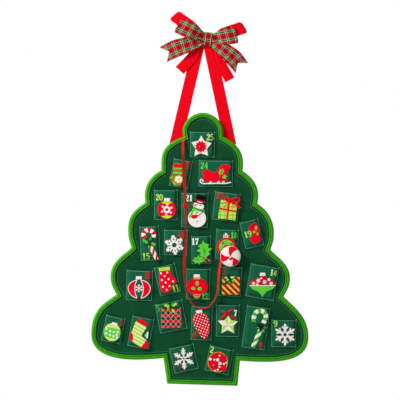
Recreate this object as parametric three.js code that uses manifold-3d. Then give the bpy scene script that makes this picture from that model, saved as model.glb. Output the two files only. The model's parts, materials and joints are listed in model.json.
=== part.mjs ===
// A felt Christmas tree advent calendar that hangs from a ribbon with a bow.
// Sizes are millimetres. +Z is up, the front looks along -Y, and the origin is the crotch of the
// hanging ribbon, where the nail goes. "down" is the distance below that crotch, "forward" is the
// distance in front of the ribbon's middle plane.
import * as THREE from 'three'
import { mergeVertices } from 'three/addons/utils/BufferGeometryUtils.js'
import Module from 'manifold-3d'

const wasm = await Module()
wasm.setup()

// Cloths and their clearances
const clearance = 0.3
const ribbonThick = 0.6
const feltThick = 1.4
const waddingThick = 2.2
const pocketFelt = 1.2
const motifFelt = 1.2

// The green binding that wraps the edges of the cloth layers
const bindingWide = 10
const bindingThick = 1
const bindingRound = 0.5
const bindingFold = 3.5
const notchSpread = 1.2

// Layers of the tree, each one forward of the last
const bindingBack = ribbonThick / 2 + clearance
const backPanelBack = bindingBack + bindingThick + clearance
const waddingBack = backPanelBack + feltThick + clearance
const frontPanelBack = waddingBack + waddingThick + clearance
const panelFace = frontPanelBack + feltThick
const bindingFront = panelFace + clearance + bindingThick

// Pockets are sewn on three sides and stand off the panel so that something fits inside
const pocketRoom = 5.2
const pocketSeam = 1.8
const pocketSlope = 4
const pocketHemSlope = 6
const pocketBack = panelFace + clearance
const pocketFace = pocketBack + pocketRoom + pocketFelt
const motifBack = pocketFace + clearance
const motifFace = motifBack + motifFelt

// Marker: a stuffed candy on a narrow ribbon
const markerRibbonWide = 5
const markerRibbonThick = 0.8
const markerRibbonBack = motifFace + clearance
const candyRadius = 21.8
const candyThick = 10
const candyBack = markerRibbonBack + markerRibbonThick + clearance

// The candy stands above the mouth of pocket 13, and its tab reaches down into that pocket
const candyAside = 0.7
const candyAboveMouth = 22.5
const tabAside = -2.3
const tabWide = 7
const tabTipWide = 4.9
const tabThick = 1
const tabRootDrop = 0.5
const tabRootSunk = 0.1
const tabBelowMouth = 16

// Outline of the tree: the crown and five tiers, each with a notch above a rounded tip
const crownTop = { across: -3, down: 135.6 }
const crownSide = { left: -45.5, right: 40.2, aboveNotch: 11.3 }
const tiers = [
  { notch: { left: -44, right: 41, downLeft: 186, downRight: 186 },
    tip: { left: -90.5, right: 83, downLeft: 241.7, downRight: 243.4 },
    full: { left: [0.6, 0.22, 0.62], right: [0.52, 0.22, 0.56] } },
  { notch: { left: -90.3, right: 82, downLeft: 257.5, downRight: 259 },
    tip: { left: -125.5, right: 115.2, downLeft: 310.7, downRight: 312 },
    full: { left: [0.515, 0.168, 0.499], right: [0.416, 0.178, 0.542] } },
  { notch: { left: -124.5, right: 113, downLeft: 326, downRight: 328.5 },
    tip: { left: -161, right: 148.4, downLeft: 383, downRight: 391.7 },
    full: { left: [0.565, 0.25, 0.559], right: [0.505, 0.167, 0.525] } },
  { notch: { left: -154, right: 141, downLeft: 421, downRight: 426.3 },
    tip: { left: -198, right: 182.5, downLeft: 482.6, downRight: 485.5 },
    full: { left: [0.267, 0.221, 0.554], right: [0.327, 0.245, 0.485] } },
  { notch: { left: -186, right: 169, downLeft: 521, downRight: 525.5 },
    tip: { left: -239, right: 221.5, downLeft: 606, downRight: 611 },
    full: { left: [0.475, 0.211, 0.638], right: [0.464, 0.277, 0.493] } }
]
const hem = { left: -146, right: 131, downLeft: 659.4, downRight: 664 }
const trunkTop = { left: -86, right: 76.4, downLeft: 656, downRight: 661.6 }
const trunkFoot = { left: -78, right: 71.1, downLeft: 710.3, downRight: 714.9 }

// How full the curves are, as shares of their rise and run. A tier's own three numbers are how far
// out and how far down its curve leaves the notch, and how early it turns down to the tip
const leaveTip = 0.5
const arriveIn = 0.5
const arriveRise = 0.35
const crownWide = 0.48
const crownDrop = 0.55
const hemFull = { left: [0.766, 0.491], right: [0.71, 0.666] }
const curveSteps = 5

// Hanging ribbon: one inch wide, folded into an upside-down V, sewn behind the tree
const hangerWide = 25.4
const hangerTopUp = 14
const hangerFoot = { left: -61.2, right: 56.4, down: 205 }

// Bow: a plain ribbon behind, a plaid ribbon in front and a band round both
const bowAcross = 8.5
const bowUp = 20.1
const bowWaistTall = 13
const bandWide = 18.6
const bandTall = 29.6
const bandThick = 1
const bandCorner = 1.7
const bandTurn = 8
const waistThick = 2.6
const bandBack = ribbonThick / 2 + clearance
const plainWaist = bandBack + bandThick + clearance
const plaidWaist = plainWaist + waistThick + clearance
const bandFront = plaidWaist + waistThick + clearance + bandThick
const loopStart = 4
const loopRiseStart = 11
const loopRiseEnd = 40
const loopFlareStart = 6
const loopFlareEnd = 0.6
const plainWide = 25.4
const plaidWide = 36
const plainLoopRise = 6.5
const plaidLoopRise = 10.5
const plaidBackRise = 7
const plainLoops = [
  { turn: 144.6, long: 88, wide: plainWide, skew: -13 },
  { turn: 18.4, long: 81, wide: plainWide, skew: 13 }
]
const plaidLoops = [
  { turn: 155, long: 69, wide: 33, skew: -8 },
  { turn: 8.6, long: 60, wide: plaidWide, skew: 10 }
]

// Tails of the bow: across, up, rise above the ribbon's middle and width at each point
const plainTails = [
  [[-3.5, 19, 0, 10], [-13, 8, 0, 15], [-23.3, -13.8, 0, 21], [-51.7, -45.9, -0.6, 23]],
  [[19, 15.1, 0, 12], [24.5, 3.1, 0, 16], [31, -20.1, 0, 21], [55, -66, -0.6, 22]]
]
const plaidTails = [
  [[-2, 18.3, 0, 13], [-14, 14, 3, 22], [-36.5, 7.2, 7, 34], [-60.5, -0.5, 6, 37], [-86.5, -12.9, 3, 35]],
  [[19, 17, 0, 13], [26, 9, 3, 22], [48, -8, 7, 34], [63.5, -21, 6, 37], [80.5, -41.5, 3, 34]]
]

// V cuts in the plaid tails: the point of the V, then the two corners beyond the end
const tailCuts = [
  [[-75.4, -7.4], [-101.5, 5], [-78.1, -34.2]],
  [[70.3, -31.8], [101.5, -31.4], [65.6, -57.4]]
]

// Days, with each pocket's middle measured across from the crotch and below its tier's notch
const rows = [
  { tier: 0, pockets: [
    { day: 25, across: -3, below: 17.7, wide: 53, tall: 54, tilt: 0.7 }] },
  { tier: 0, pockets: [
    { day: 23, across: -48.9, below: 79, wide: 41, tall: 59, tilt: 10.8 },
    { day: 24, across: 25, below: 79, wide: 73, tall: 56, tilt: 1 }] },
  { tier: 1, pockets: [
    { day: 20, across: -80.7, below: 73.4, wide: 50, tall: 64, tilt: 0.5 },
    { day: 21, across: -19.5, below: 84.2, wide: 57, tall: 73, tilt: 1 },
    { day: 22, across: 47, below: 77, wide: 54, tall: 60, tilt: 7 }] },
  { tier: 2, pockets: [
    { day: 15, across: -114.3, below: 85.5, wide: 42, tall: 73, tilt: -2.7 },
    { day: 16, across: -59.9, below: 83.8, wide: 50, tall: 54, tilt: 1 },
    { day: 17, across: -5.7, below: 99.5, wide: 42, tall: 59, tilt: -1.5 },
    { day: 18, across: 48.7, below: 87.4, wide: 48, tall: 63, tilt: 2.7 },
    { day: 19, across: 101.4, below: 65.2, wide: 41, tall: 58, tilt: -13.3 }] },
  { tier: 3, pockets: [
    { day: 10, across: -136.8, below: 78.2, wide: 56, tall: 64, tilt: 2 },
    { day: 11, across: -77.3, below: 66, wide: 46, tall: 62, tilt: -13 },
    { day: 12, across: -12.3, below: 75.3, wide: 51, tall: 66, tilt: 1 },
    { day: 13, across: 55, below: 69.8, wide: 49, tall: 63, tilt: 3 },
    { day: 14, across: 123.4, below: 71, wide: 61, tall: 71, tilt: 10 }] },
  { tier: 4, pockets: [
    { day: 3, across: -192.4, below: 72, wide: 42, tall: 56, tilt: 12.5 },
    { day: 4, across: -133.8, below: 78.1, wide: 47, tall: 65, tilt: 10.5 },
    { day: 5, across: -69.6, below: 44.3, wide: 59, tall: 63, tilt: -10.7 },
    { day: 6, across: -4.9, below: 58.5, wide: 45, tall: 72, tilt: 2 },
    { day: 7, across: 50.4, below: 53.4, wide: 50, tall: 68, tilt: 1 },
    { day: 8, across: 109.9, below: 68.2, wide: 50, tall: 90, tilt: 8 },
    { day: 9, across: 169.1, below: 80.3, wide: 53, tall: 58, tilt: 0.7 }] },
  { tier: 4, pockets: [
    { day: 1, across: -42.3, below: 133.2, wide: 53, tall: 55, tilt: -12.5 },
    { day: 2, across: 32.2, below: 136.6, wide: 52, tall: 55, tilt: 13 }] }
]

const markerDay = 13

// How far down a row's own zero lies, midway between its tier's two notches
function rowDown(row) {
  const notch = tiers[row.tier].notch
  return (notch.downLeft + notch.downRight) / 2
}

// Route of the marker ribbon from the notch beside the crown to the candy: across, down, forward
const markerRoute = [
  [-44.5, 186, 9.9], [-44.5, 196, 11.4], [-44.6, 210, 14.4], [-44.7, 225, 16.4], [-42.8, 242.4, 16.4],
  [-41.7, 267.8, 16.4], [-40.4, 300, 16.4], [-39.2, 331.3, 16.4], [-38.1, 360, 16.4], [-37.7, 388.5, 16.4],
  [-38.1, 405.4, 16.4], [-39.2, 426.6, 16.4], [-41.1, 443.5, 16.4], [-41.9, 460.4, 16.4],
  [-40.6, 485.2, 16.4], [-38.3, 505.3, 16.4], [-34.7, 521.6, 16.4], [-27.3, 536.2, 16.4],
  [-18, 545.5, 16.4], [-4.7, 550, 16.4], [8.3, 546.8, 16.4], [17.3, 538.4, 16.4], [24.2, 527.3, 16.4],
  [27.7, 514.2, 16.4], [30.1, 491.6, 16.4], [32.2, 468.9, 16.4], [35.1, 452, 16.4], [38.1, 437, 16.4]
]
const markerSteps = 62

const degree = Math.PI / 180

// A point at a distance across, down and forward of the crotch
function at(across, down, forward) {
  return new THREE.Vector3(across, -forward, -down)
}

// Material of one cloth
function cloth(colour, roughness) {
  return new THREE.MeshStandardMaterial({ color: colour, roughness, metalness: 0 })
}

const materials = {
  panelFelt: cloth(0x11492b, 0.95),
  backFelt: cloth(0x11492b, 0.95),
  wadding: cloth(0xf0eee8, 1),
  pocketFelt: cloth(0x175d3f, 0.95),
  binding: cloth(0x3f9c12, 0.8),
  redRibbon: cloth(0xf4011e, 0.6),
  plaidRibbon: cloth(0xb3151c, 0.6),
  satin: cloth(0xd8151a, 0.35),
  candyFelt: cloth(0xede8eb, 0.85),
  whiteFelt: cloth(0xece6dc, 0.9),
  redFelt: cloth(0xe00a22, 0.9),
  greenFelt: cloth(0x5ecd3c, 0.9),
  limeFelt: cloth(0xb4d84e, 0.9)
}

const calendar = new THREE.Group()

// Adds one named piece
function add(name, geometry, material) {
  const piece = new THREE.Mesh(geometry, material)
  piece.name = name
  calendar.add(piece)
  return piece
}

// Solid from a closed geometry, for joining and cutting
function solid(geometry) {
  const bare = geometry.clone()
  bare.deleteAttribute('normal')
  bare.deleteAttribute('uv')
  const merged = mergeVertices(bare, 1e-4)
  return new wasm.Manifold(new wasm.Mesh({
    numProp: 3,
    vertProperties: new Float32Array(merged.attributes.position.array),
    triVerts: new Uint32Array(merged.index.array)
  }))
}

// Geometry from a solid
function geometryOf(body) {
  const mesh = body.getMesh()
  const geometry = new THREE.BufferGeometry()
  geometry.setAttribute('position', new THREE.BufferAttribute(new Float32Array(mesh.vertProperties), 3))
  geometry.setIndex([...mesh.triVerts])
  geometry.computeVertexNormals()
  return geometry
}

// Joins geometries into one body, less the ones to cut away
function joined(geometries, cuts = []) {
  let body = solid(geometries[0])
  for (const geometry of geometries.slice(1)) body = body.add(solid(geometry))
  for (const cut of cuts) body = body.subtract(solid(cut))
  return geometryOf(body)
}

// Flat cloth with the given outline between two distances forward
function slab(shape, back, front, curveSegments = 6) {
  const geometry = new THREE.ExtrudeGeometry(shape, {
    depth: front - back, bevelEnabled: false, curveSegments
  })
  geometry.rotateX(Math.PI / 2)
  geometry.translate(0, -back, 0)
  return geometry
}

// One side's curve of a tier from its notch out to the tip
function tierTop(path, notch, tip, [leaveOut, leaveDrop, reachTip]) {
  path.bezierCurveTo(
    notch.x + leaveOut * (tip.x - notch.x), notch.y + leaveDrop * (tip.y - notch.y),
    tip.x, tip.y + reachTip * (notch.y - tip.y), tip.x, tip.y)
}

// The curve under the tip, in to the next notch
function tierUnderside(path, tip, next) {
  path.bezierCurveTo(
    tip.x, tip.y + leaveTip * (next.y - tip.y),
    next.x + arriveIn * (tip.x - next.x), next.y + arriveRise * (tip.y - next.y), next.x, next.y)
}

// Outline points of one side, from the top of the crown to the foot of the trunk
function sideOutline(side, downKey) {
  const path = new THREE.Path()
  const top = new THREE.Vector2(crownTop.across, -crownTop.down)
  const notches = tiers.map(t => new THREE.Vector2(t.notch[side], -t.notch[downKey]))
  const shoulder = new THREE.Vector2(crownSide[side], notches[0].y + crownSide.aboveNotch)
  const tips = tiers.map(t => new THREE.Vector2(t.tip[side], -t.tip[downKey]))
  const hemPoint = new THREE.Vector2(hem[side], -hem[downKey])
  const corner = new THREE.Vector2(trunkTop[side], -trunkTop[downKey])
  path.moveTo(top.x, top.y)
  path.bezierCurveTo(
    top.x + crownWide * (shoulder.x - top.x), top.y,
    shoulder.x, shoulder.y + crownDrop * (top.y - shoulder.y), shoulder.x, shoulder.y)
  path.quadraticCurveTo(shoulder.x, (shoulder.y + notches[0].y) / 2, notches[0].x, notches[0].y)
  for (let i = 0; i < tiers.length; i++) {
    tierTop(path, notches[i], tips[i], tiers[i].full[side])
    if (i + 1 < tiers.length) tierUnderside(path, tips[i], notches[i + 1])
  }
  const tip = tips[tiers.length - 1]
  const [hemDrop, hemOut] = hemFull[side]
  path.bezierCurveTo(
    tip.x, tip.y + hemDrop * (hemPoint.y - tip.y),
    hemPoint.x + hemOut * (tip.x - hemPoint.x), hemPoint.y, hemPoint.x, hemPoint.y)
  path.quadraticCurveTo((hemPoint.x + corner.x) / 2, hemPoint.y, corner.x, corner.y)
  path.lineTo(trunkFoot[side], -trunkFoot[downKey])
  return path.getPoints(curveSteps)
}

// Closed outline of the tree, anticlockwise as seen from the front
function treeOutline() {
  const left = sideOutline('left', 'downLeft')
  const right = sideOutline('right', 'downRight').reverse()
  const points = [...left, ...right.slice(0, -1)]
  return points.filter((p, i) => p.distanceTo(points[(i + 1) % points.length]) > 0.01)
}

// Inward direction at each outline point, longer at corners so that the edge keeps its width
function inwardSteps(points) {
  return points.map((point, i) => {
    const before = points[(i + points.length - 1) % points.length]
    const after = points[(i + 1) % points.length]
    const into = new THREE.Vector2().subVectors(point, before).normalize()
    const out = new THREE.Vector2().subVectors(after, point).normalize()
    const normal = new THREE.Vector2(-into.y - out.y, into.x + out.x).normalize()
    const halfTurn = Math.max(0.3, normal.dot(new THREE.Vector2(-into.y, into.x)))
    const reflex = into.cross(out) < 0
    return normal.multiplyScalar(reflex ? Math.min(1 / halfTurn, notchSpread) : 1 / halfTurn)
  })
}

const outline = treeOutline()
const inward = inwardSteps(outline)

// The outline moved inwards by a distance
function inset(distance) {
  return outline.map((p, i) => new THREE.Vector2().copy(p).addScaledVector(inward[i], distance))
}

// Closed skin over rings of points, with the first and last ring joined when it goes round
function skin(rings, goesRound) {
  const size = rings[0].length
  const positions = rings.flat().flatMap(p => [p.x, p.y, p.z])
  const index = []
  const last = goesRound ? rings.length : rings.length - 1
  for (let i = 0; i < last; i++) {
    const a = i * size
    const b = ((i + 1) % rings.length) * size
    for (let k = 0; k < size; k++) {
      const next = (k + 1) % size
      index.push(a + k, b + k, b + next, a + k, b + next, a + next)
    }
  }
  if (!goesRound) {
    const end = (rings.length - 1) * size
    for (let k = 1; k < size - 1; k++) {
      index.push(0, k, k + 1)
      index.push(end, end + k + 1, end + k)
    }
  }
  const geometry = new THREE.BufferGeometry()
  geometry.setAttribute('position', new THREE.Float32BufferAttribute(positions, 3))
  geometry.setIndex(index)
  return outward(geometry)
}

// Turns the faces over if they point in
function outward(geometry) {
  const p = geometry.attributes.position
  const index = geometry.index.array
  const a = new THREE.Vector3()
  const b = new THREE.Vector3()
  const c = new THREE.Vector3()
  let volume = 0
  for (let i = 0; i < index.length; i += 3) {
    a.fromBufferAttribute(p, index[i])
    b.fromBufferAttribute(p, index[i + 1])
    c.fromBufferAttribute(p, index[i + 2])
    volume += a.dot(b.cross(c))
  }
  if (volume < 0) {
    for (let i = 0; i < index.length; i += 3) [index[i], index[i + 1]] = [index[i + 1], index[i]]
  }
  geometry.computeVertexNormals()
  return geometry
}

// Binding folded round the edge: a rounded outside and a slot that takes the panels
function edgeBinding() {
  const middle = (bindingBack + bindingFront) / 2
  const half = (bindingFront - bindingBack) / 2
  const section = [
    [bindingWide, panelFace + clearance],
    [bindingWide - bindingThick / 2, bindingFront - bindingThick / 4],
    [bindingWide / 2, bindingFront + bindingRound],
    [bindingWide * 0.15, middle + half * 0.7],
    [0, middle],
    [bindingWide * 0.15, middle - half * 0.7],
    [bindingWide / 2, bindingBack],
    [bindingWide, bindingBack],
    [bindingWide, backPanelBack - clearance],
    [bindingFold - clearance, backPanelBack - clearance],
    [bindingFold - clearance, panelFace + clearance]
  ]
  const rings = outline.map((p, i) => section.map(([distance, forward]) => {
    const q = new THREE.Vector2().copy(p).addScaledVector(inward[i], distance)
    return at(q.x, -q.y, forward)
  }))
  return skin(rings, true)
}

// Flat strip of ribbon along points, with its width direction and width at each point
function strip(points, across, widths, thick) {
  const rings = points.map((point, i) => {
    const before = points[Math.max(0, i - 1)]
    const after = points[Math.min(points.length - 1, i + 1)]
    const along = new THREE.Vector3().subVectors(after, before).normalize()
    const wide = across(i).clone().normalize()
    const normal = new THREE.Vector3().crossVectors(wide, along).normalize()
    const half = widths(i) / 2
    return [[1, 1], [-1, 1], [-1, -1], [1, -1]].map(([w, t]) => point.clone()
      .addScaledVector(wide, w * half).addScaledVector(normal, t * thick / 2))
  })
  return skin(rings, false)
}

// Upside-down V of ribbon behind the tree: the inner edges meet at the crotch and the straps cross above it
function hangerRibbon() {
  const straps = ['left', 'right'].map(side => {
    const foot = at(hangerFoot[side], hangerFoot.down, 0)
    const lean = Math.atan2(Math.abs(foot.x) - hangerWide / 2, hangerFoot.down)
    const beside = Math.sign(foot.x) * hangerWide / 2 / Math.cos(lean)
    const slope = (foot.x - beside) / hangerFoot.down
    const top = at(beside - slope * hangerTopUp, -hangerTopUp, 0)
    const along = new THREE.Vector3().subVectors(foot, top).normalize()
    const wide = new THREE.Vector3(along.z, 0, -along.x)
    return strip([top, foot], () => wide, () => hangerWide, ribbonThick)
  })
  return joined(straps)
}

// Share of a loop's rise at a distance from the bow's middle
function riseShare(distance) {
  return THREE.MathUtils.smoothstep(distance, loopRiseStart, loopRiseEnd)
}

// One loop of a bow: out along the front, round its end and back along the rear
function bowLoop(loop, waist, frontRise, backRise) {
  const turn = loop.turn * degree
  const along = new THREE.Vector3(Math.cos(turn), 0, Math.sin(turn))
  const front = waist + waistThick - ribbonThick
  const back = waist + ribbonThick
  const endRadius = (front + frontRise - back - backRise) / 2
  const reach = loop.long - endRadius
  const runSteps = 5
  const endSteps = 4
  const run = [loopStart]
  for (let i = 0; i <= runSteps; i++) run.push(loopRiseStart + (reach - loopRiseStart) * i / runSteps)
  const stations = run.map(distance => [distance, front + frontRise * riseShare(distance)])
  for (let i = 1; i < endSteps; i++) {
    const angle = Math.PI / 2 - Math.PI * i / endSteps
    const middle = (front + frontRise + back + backRise) / 2
    stations.push([reach + endRadius * Math.cos(angle), middle + endRadius * Math.sin(angle)])
  }
  for (const distance of run.reverse()) stations.push([distance, back + backRise * riseShare(distance)])
  const points = stations.map(([distance, forward]) => new THREE.Vector3(
    bowAcross + distance * along.x, -forward, bowUp + distance * along.z))
  const across = i => {
    const skew = turn + Math.PI / 2 + loop.skew * degree * stations[i][0] / loop.long
    return new THREE.Vector3(Math.cos(skew), 0, Math.sin(skew))
  }
  const widths = i => bowWaistTall + (loop.wide - bowWaistTall) *
    THREE.MathUtils.smoothstep(stations[i][0], loopFlareStart, loop.long * loopFlareEnd)
  return strip(points, across, widths, ribbonThick)
}

// One tail of a bow from the bow's middle along its own points
function bowTail(tail, level) {
  const stations = [[bowAcross, bowUp, 0, tail[0][3]], ...tail]
  const points = stations.map(([across, up, rise]) => at(across, -up, level + rise))
  const across = i => {
    const before = points[Math.max(0, i - 1)]
    const after = points[Math.min(points.length - 1, i + 1)]
    return new THREE.Vector3(before.z - after.z, 0, after.x - before.x)
  }
  return strip(points, across, i => stations[i][3], ribbonThick)
}

// The gathered middle of a ribbon, inside the band
function bowWaist(waist) {
  const shape = bar(0, 0, bandWide * 0.8, bowWaistTall)
  const geometry = slab(shape, waist, waist + waistThick)
  geometry.rotateY(bandTurn * degree)
  geometry.translate(bowAcross, 0, bowUp)
  return geometry
}

// Plain ribbon: two loops and two tails that hang behind the plaid ones
function plainBow() {
  return joined([
    bowWaist(plainWaist),
    ...plainLoops.map(loop => bowLoop(loop, plainWaist, plainLoopRise, 0)),
    ...plainTails.map(tail => bowTail(tail, plainWaist + ribbonThick))
  ])
}

// Plaid ribbon: two fuller loops and two tails with a V cut in their ends
function plaidBow() {
  return joined([
    bowWaist(plaidWaist),
    ...plaidLoops.map(loop => bowLoop(loop, plaidWaist, plaidLoopRise, plaidBackRise)),
    ...plaidTails.map(tail => bowTail(tail, plaidWaist + ribbonThick))
  ], tailCuts.map(wedge))
}

// Wedge that cuts the V in a tail: its point, then the two corners beyond the end
function wedge(corners) {
  return slab(polygon(corners), 0, bandFront + 2 * plaidLoopRise)
}

// Band wrapped round the gathered middle of both ribbons
function bowBand() {
  const deep = bandFront - bandBack
  const outer = roundedBox(0, 0, deep, bandTall, bandCorner)
  outer.holes.push(bar(0, 0, deep - 2 * bandThick, bandTall - 2 * bandThick))
  const geometry = new THREE.ExtrudeGeometry(outer, { depth: bandWide, bevelEnabled: false })
  geometry.translate(0, 0, -bandWide / 2)
  geometry.rotateY(Math.PI / 2)
  geometry.rotateX(Math.PI / 2)
  return geometry
}

// Flat shapes in the plane of the front, as across and up
function polygon(points) {
  return new THREE.Shape(points.map(([x, y]) => new THREE.Vector2(x, y)))
}

function bar(x, y, wide, tall, tilt = 0) {
  const corners = [[-1, -1], [1, -1], [1, 1], [-1, 1]]
  return polygon(turned(corners.map(([a, b]) => [a * wide / 2, b * tall / 2]), tilt, x, y))
}

function roundedBox(x, y, wide, tall, radius) {
  const corners = [[1, 1], [-1, 1], [-1, -1], [1, -1]]
  const steps = 3
  return polygon(corners.flatMap(([a, b], corner) => {
    const arc = []
    for (let i = 0; i <= steps; i++) {
      const angle = (corner + i / steps) * Math.PI / 2
      arc.push([x + a * (wide / 2 - radius) + radius * Math.cos(angle),
        y + b * (tall / 2 - radius) + radius * Math.sin(angle)])
    }
    return arc
  }))
}

function oval(x, y, radiusX, radiusY, tilt = 0) {
  const points = []
  const steps = 18
  for (let i = 0; i < steps; i++) {
    const angle = i * 2 * Math.PI / steps
    points.push([radiusX * Math.cos(angle), radiusY * Math.sin(angle)])
  }
  return polygon(turned(points, tilt, x, y))
}

// Points turned clockwise by a tilt and moved to a place
function turned(points, tilt, x = 0, y = 0) {
  const cos = Math.cos(tilt * degree)
  const sin = Math.sin(tilt * degree)
  return points.map(([a, b]) => [x + a * cos + b * sin, y - a * sin + b * cos])
}

// Leaf with a point at each end and a spike on each side
function leaf(x, y, long, wide, tilt) {
  const half = [[0, long / 2], [wide * 0.28, long * 0.27], [wide * 0.52, long * 0.2], [wide * 0.36, 0],
    [wide * 0.5, -long * 0.13], [wide * 0.2, -long * 0.33], [0, -long / 2]]
  const other = half.slice(1, -1).reverse().map(([a, b]) => [-a, b])
  return polygon(turned([...half, ...other].reverse(), tilt, x, y))
}

function star(x, y, radius, share, count, tilt = 0) {
  const points = []
  for (let i = 0; i < count * 2; i++) {
    const reach = i % 2 ? radius * share : radius
    const angle = Math.PI / 2 + i * Math.PI / count
    points.push([reach * Math.cos(angle), reach * Math.sin(angle)])
  }
  return polygon(turned(points, tilt, x, y))
}

// Snowflake with six arms on a hub, each arm with a pair of side branches, and a hole if one is given
function snowflake({ radius, armWide, hub, branch, hole }) {
  const half = armWide / 2
  const side = [[half, hub], [half, radius * 0.5], [half + branch, radius * 0.66],
    [half + branch * 0.7, radius * 0.82], [half, radius * 0.72], [half, radius]]
  const arm = [...side, ...side.map(([x, y]) => [-x, y]).reverse()]
  const points = []
  for (let i = 0; i < 6; i++) points.push(...turned(arm, -60 * i))
  const shape = polygon(points)
  if (hole) shape.holes.push(oval(0, 0, hole, hole))
  return [shape]
}

// Two bow loops side by side with a knot
function smallBow(x, y, wide, tall, tilt = 0) {
  const loop = [[0, -tall * 0.16], [wide / 2, -tall / 2], [wide / 2, tall / 2], [0, tall * 0.16],
    [-wide / 2, tall / 2], [-wide / 2, -tall / 2]]
  return [polygon(turned(loop, tilt, x, y))]
}

// Strip of even width bent along a line, for candy canes
function bentBar(points, wide) {
  const curve = new THREE.CatmullRomCurve3(points.map(([x, y]) => new THREE.Vector3(x, y, 0)))
  const line = curve.getPoints(16)
  const sides = [1, -1].map(side => line.map((point, i) => {
    const before = line[Math.max(0, i - 1)]
    const after = line[Math.min(line.length - 1, i + 1)]
    const along = new THREE.Vector3().subVectors(after, before).normalize()
    return [point.x - side * along.y * wide / 2, point.y + side * along.x * wide / 2]
  }))
  return polygon([...sides[1], ...sides[0].reverse()])
}

const bauble = (radius, capWide, capTall, capX = 0) => [
  oval(0, 0, radius, radius), bar(capX, radius + capTall / 2 - 1, capWide, capTall)]

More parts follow.
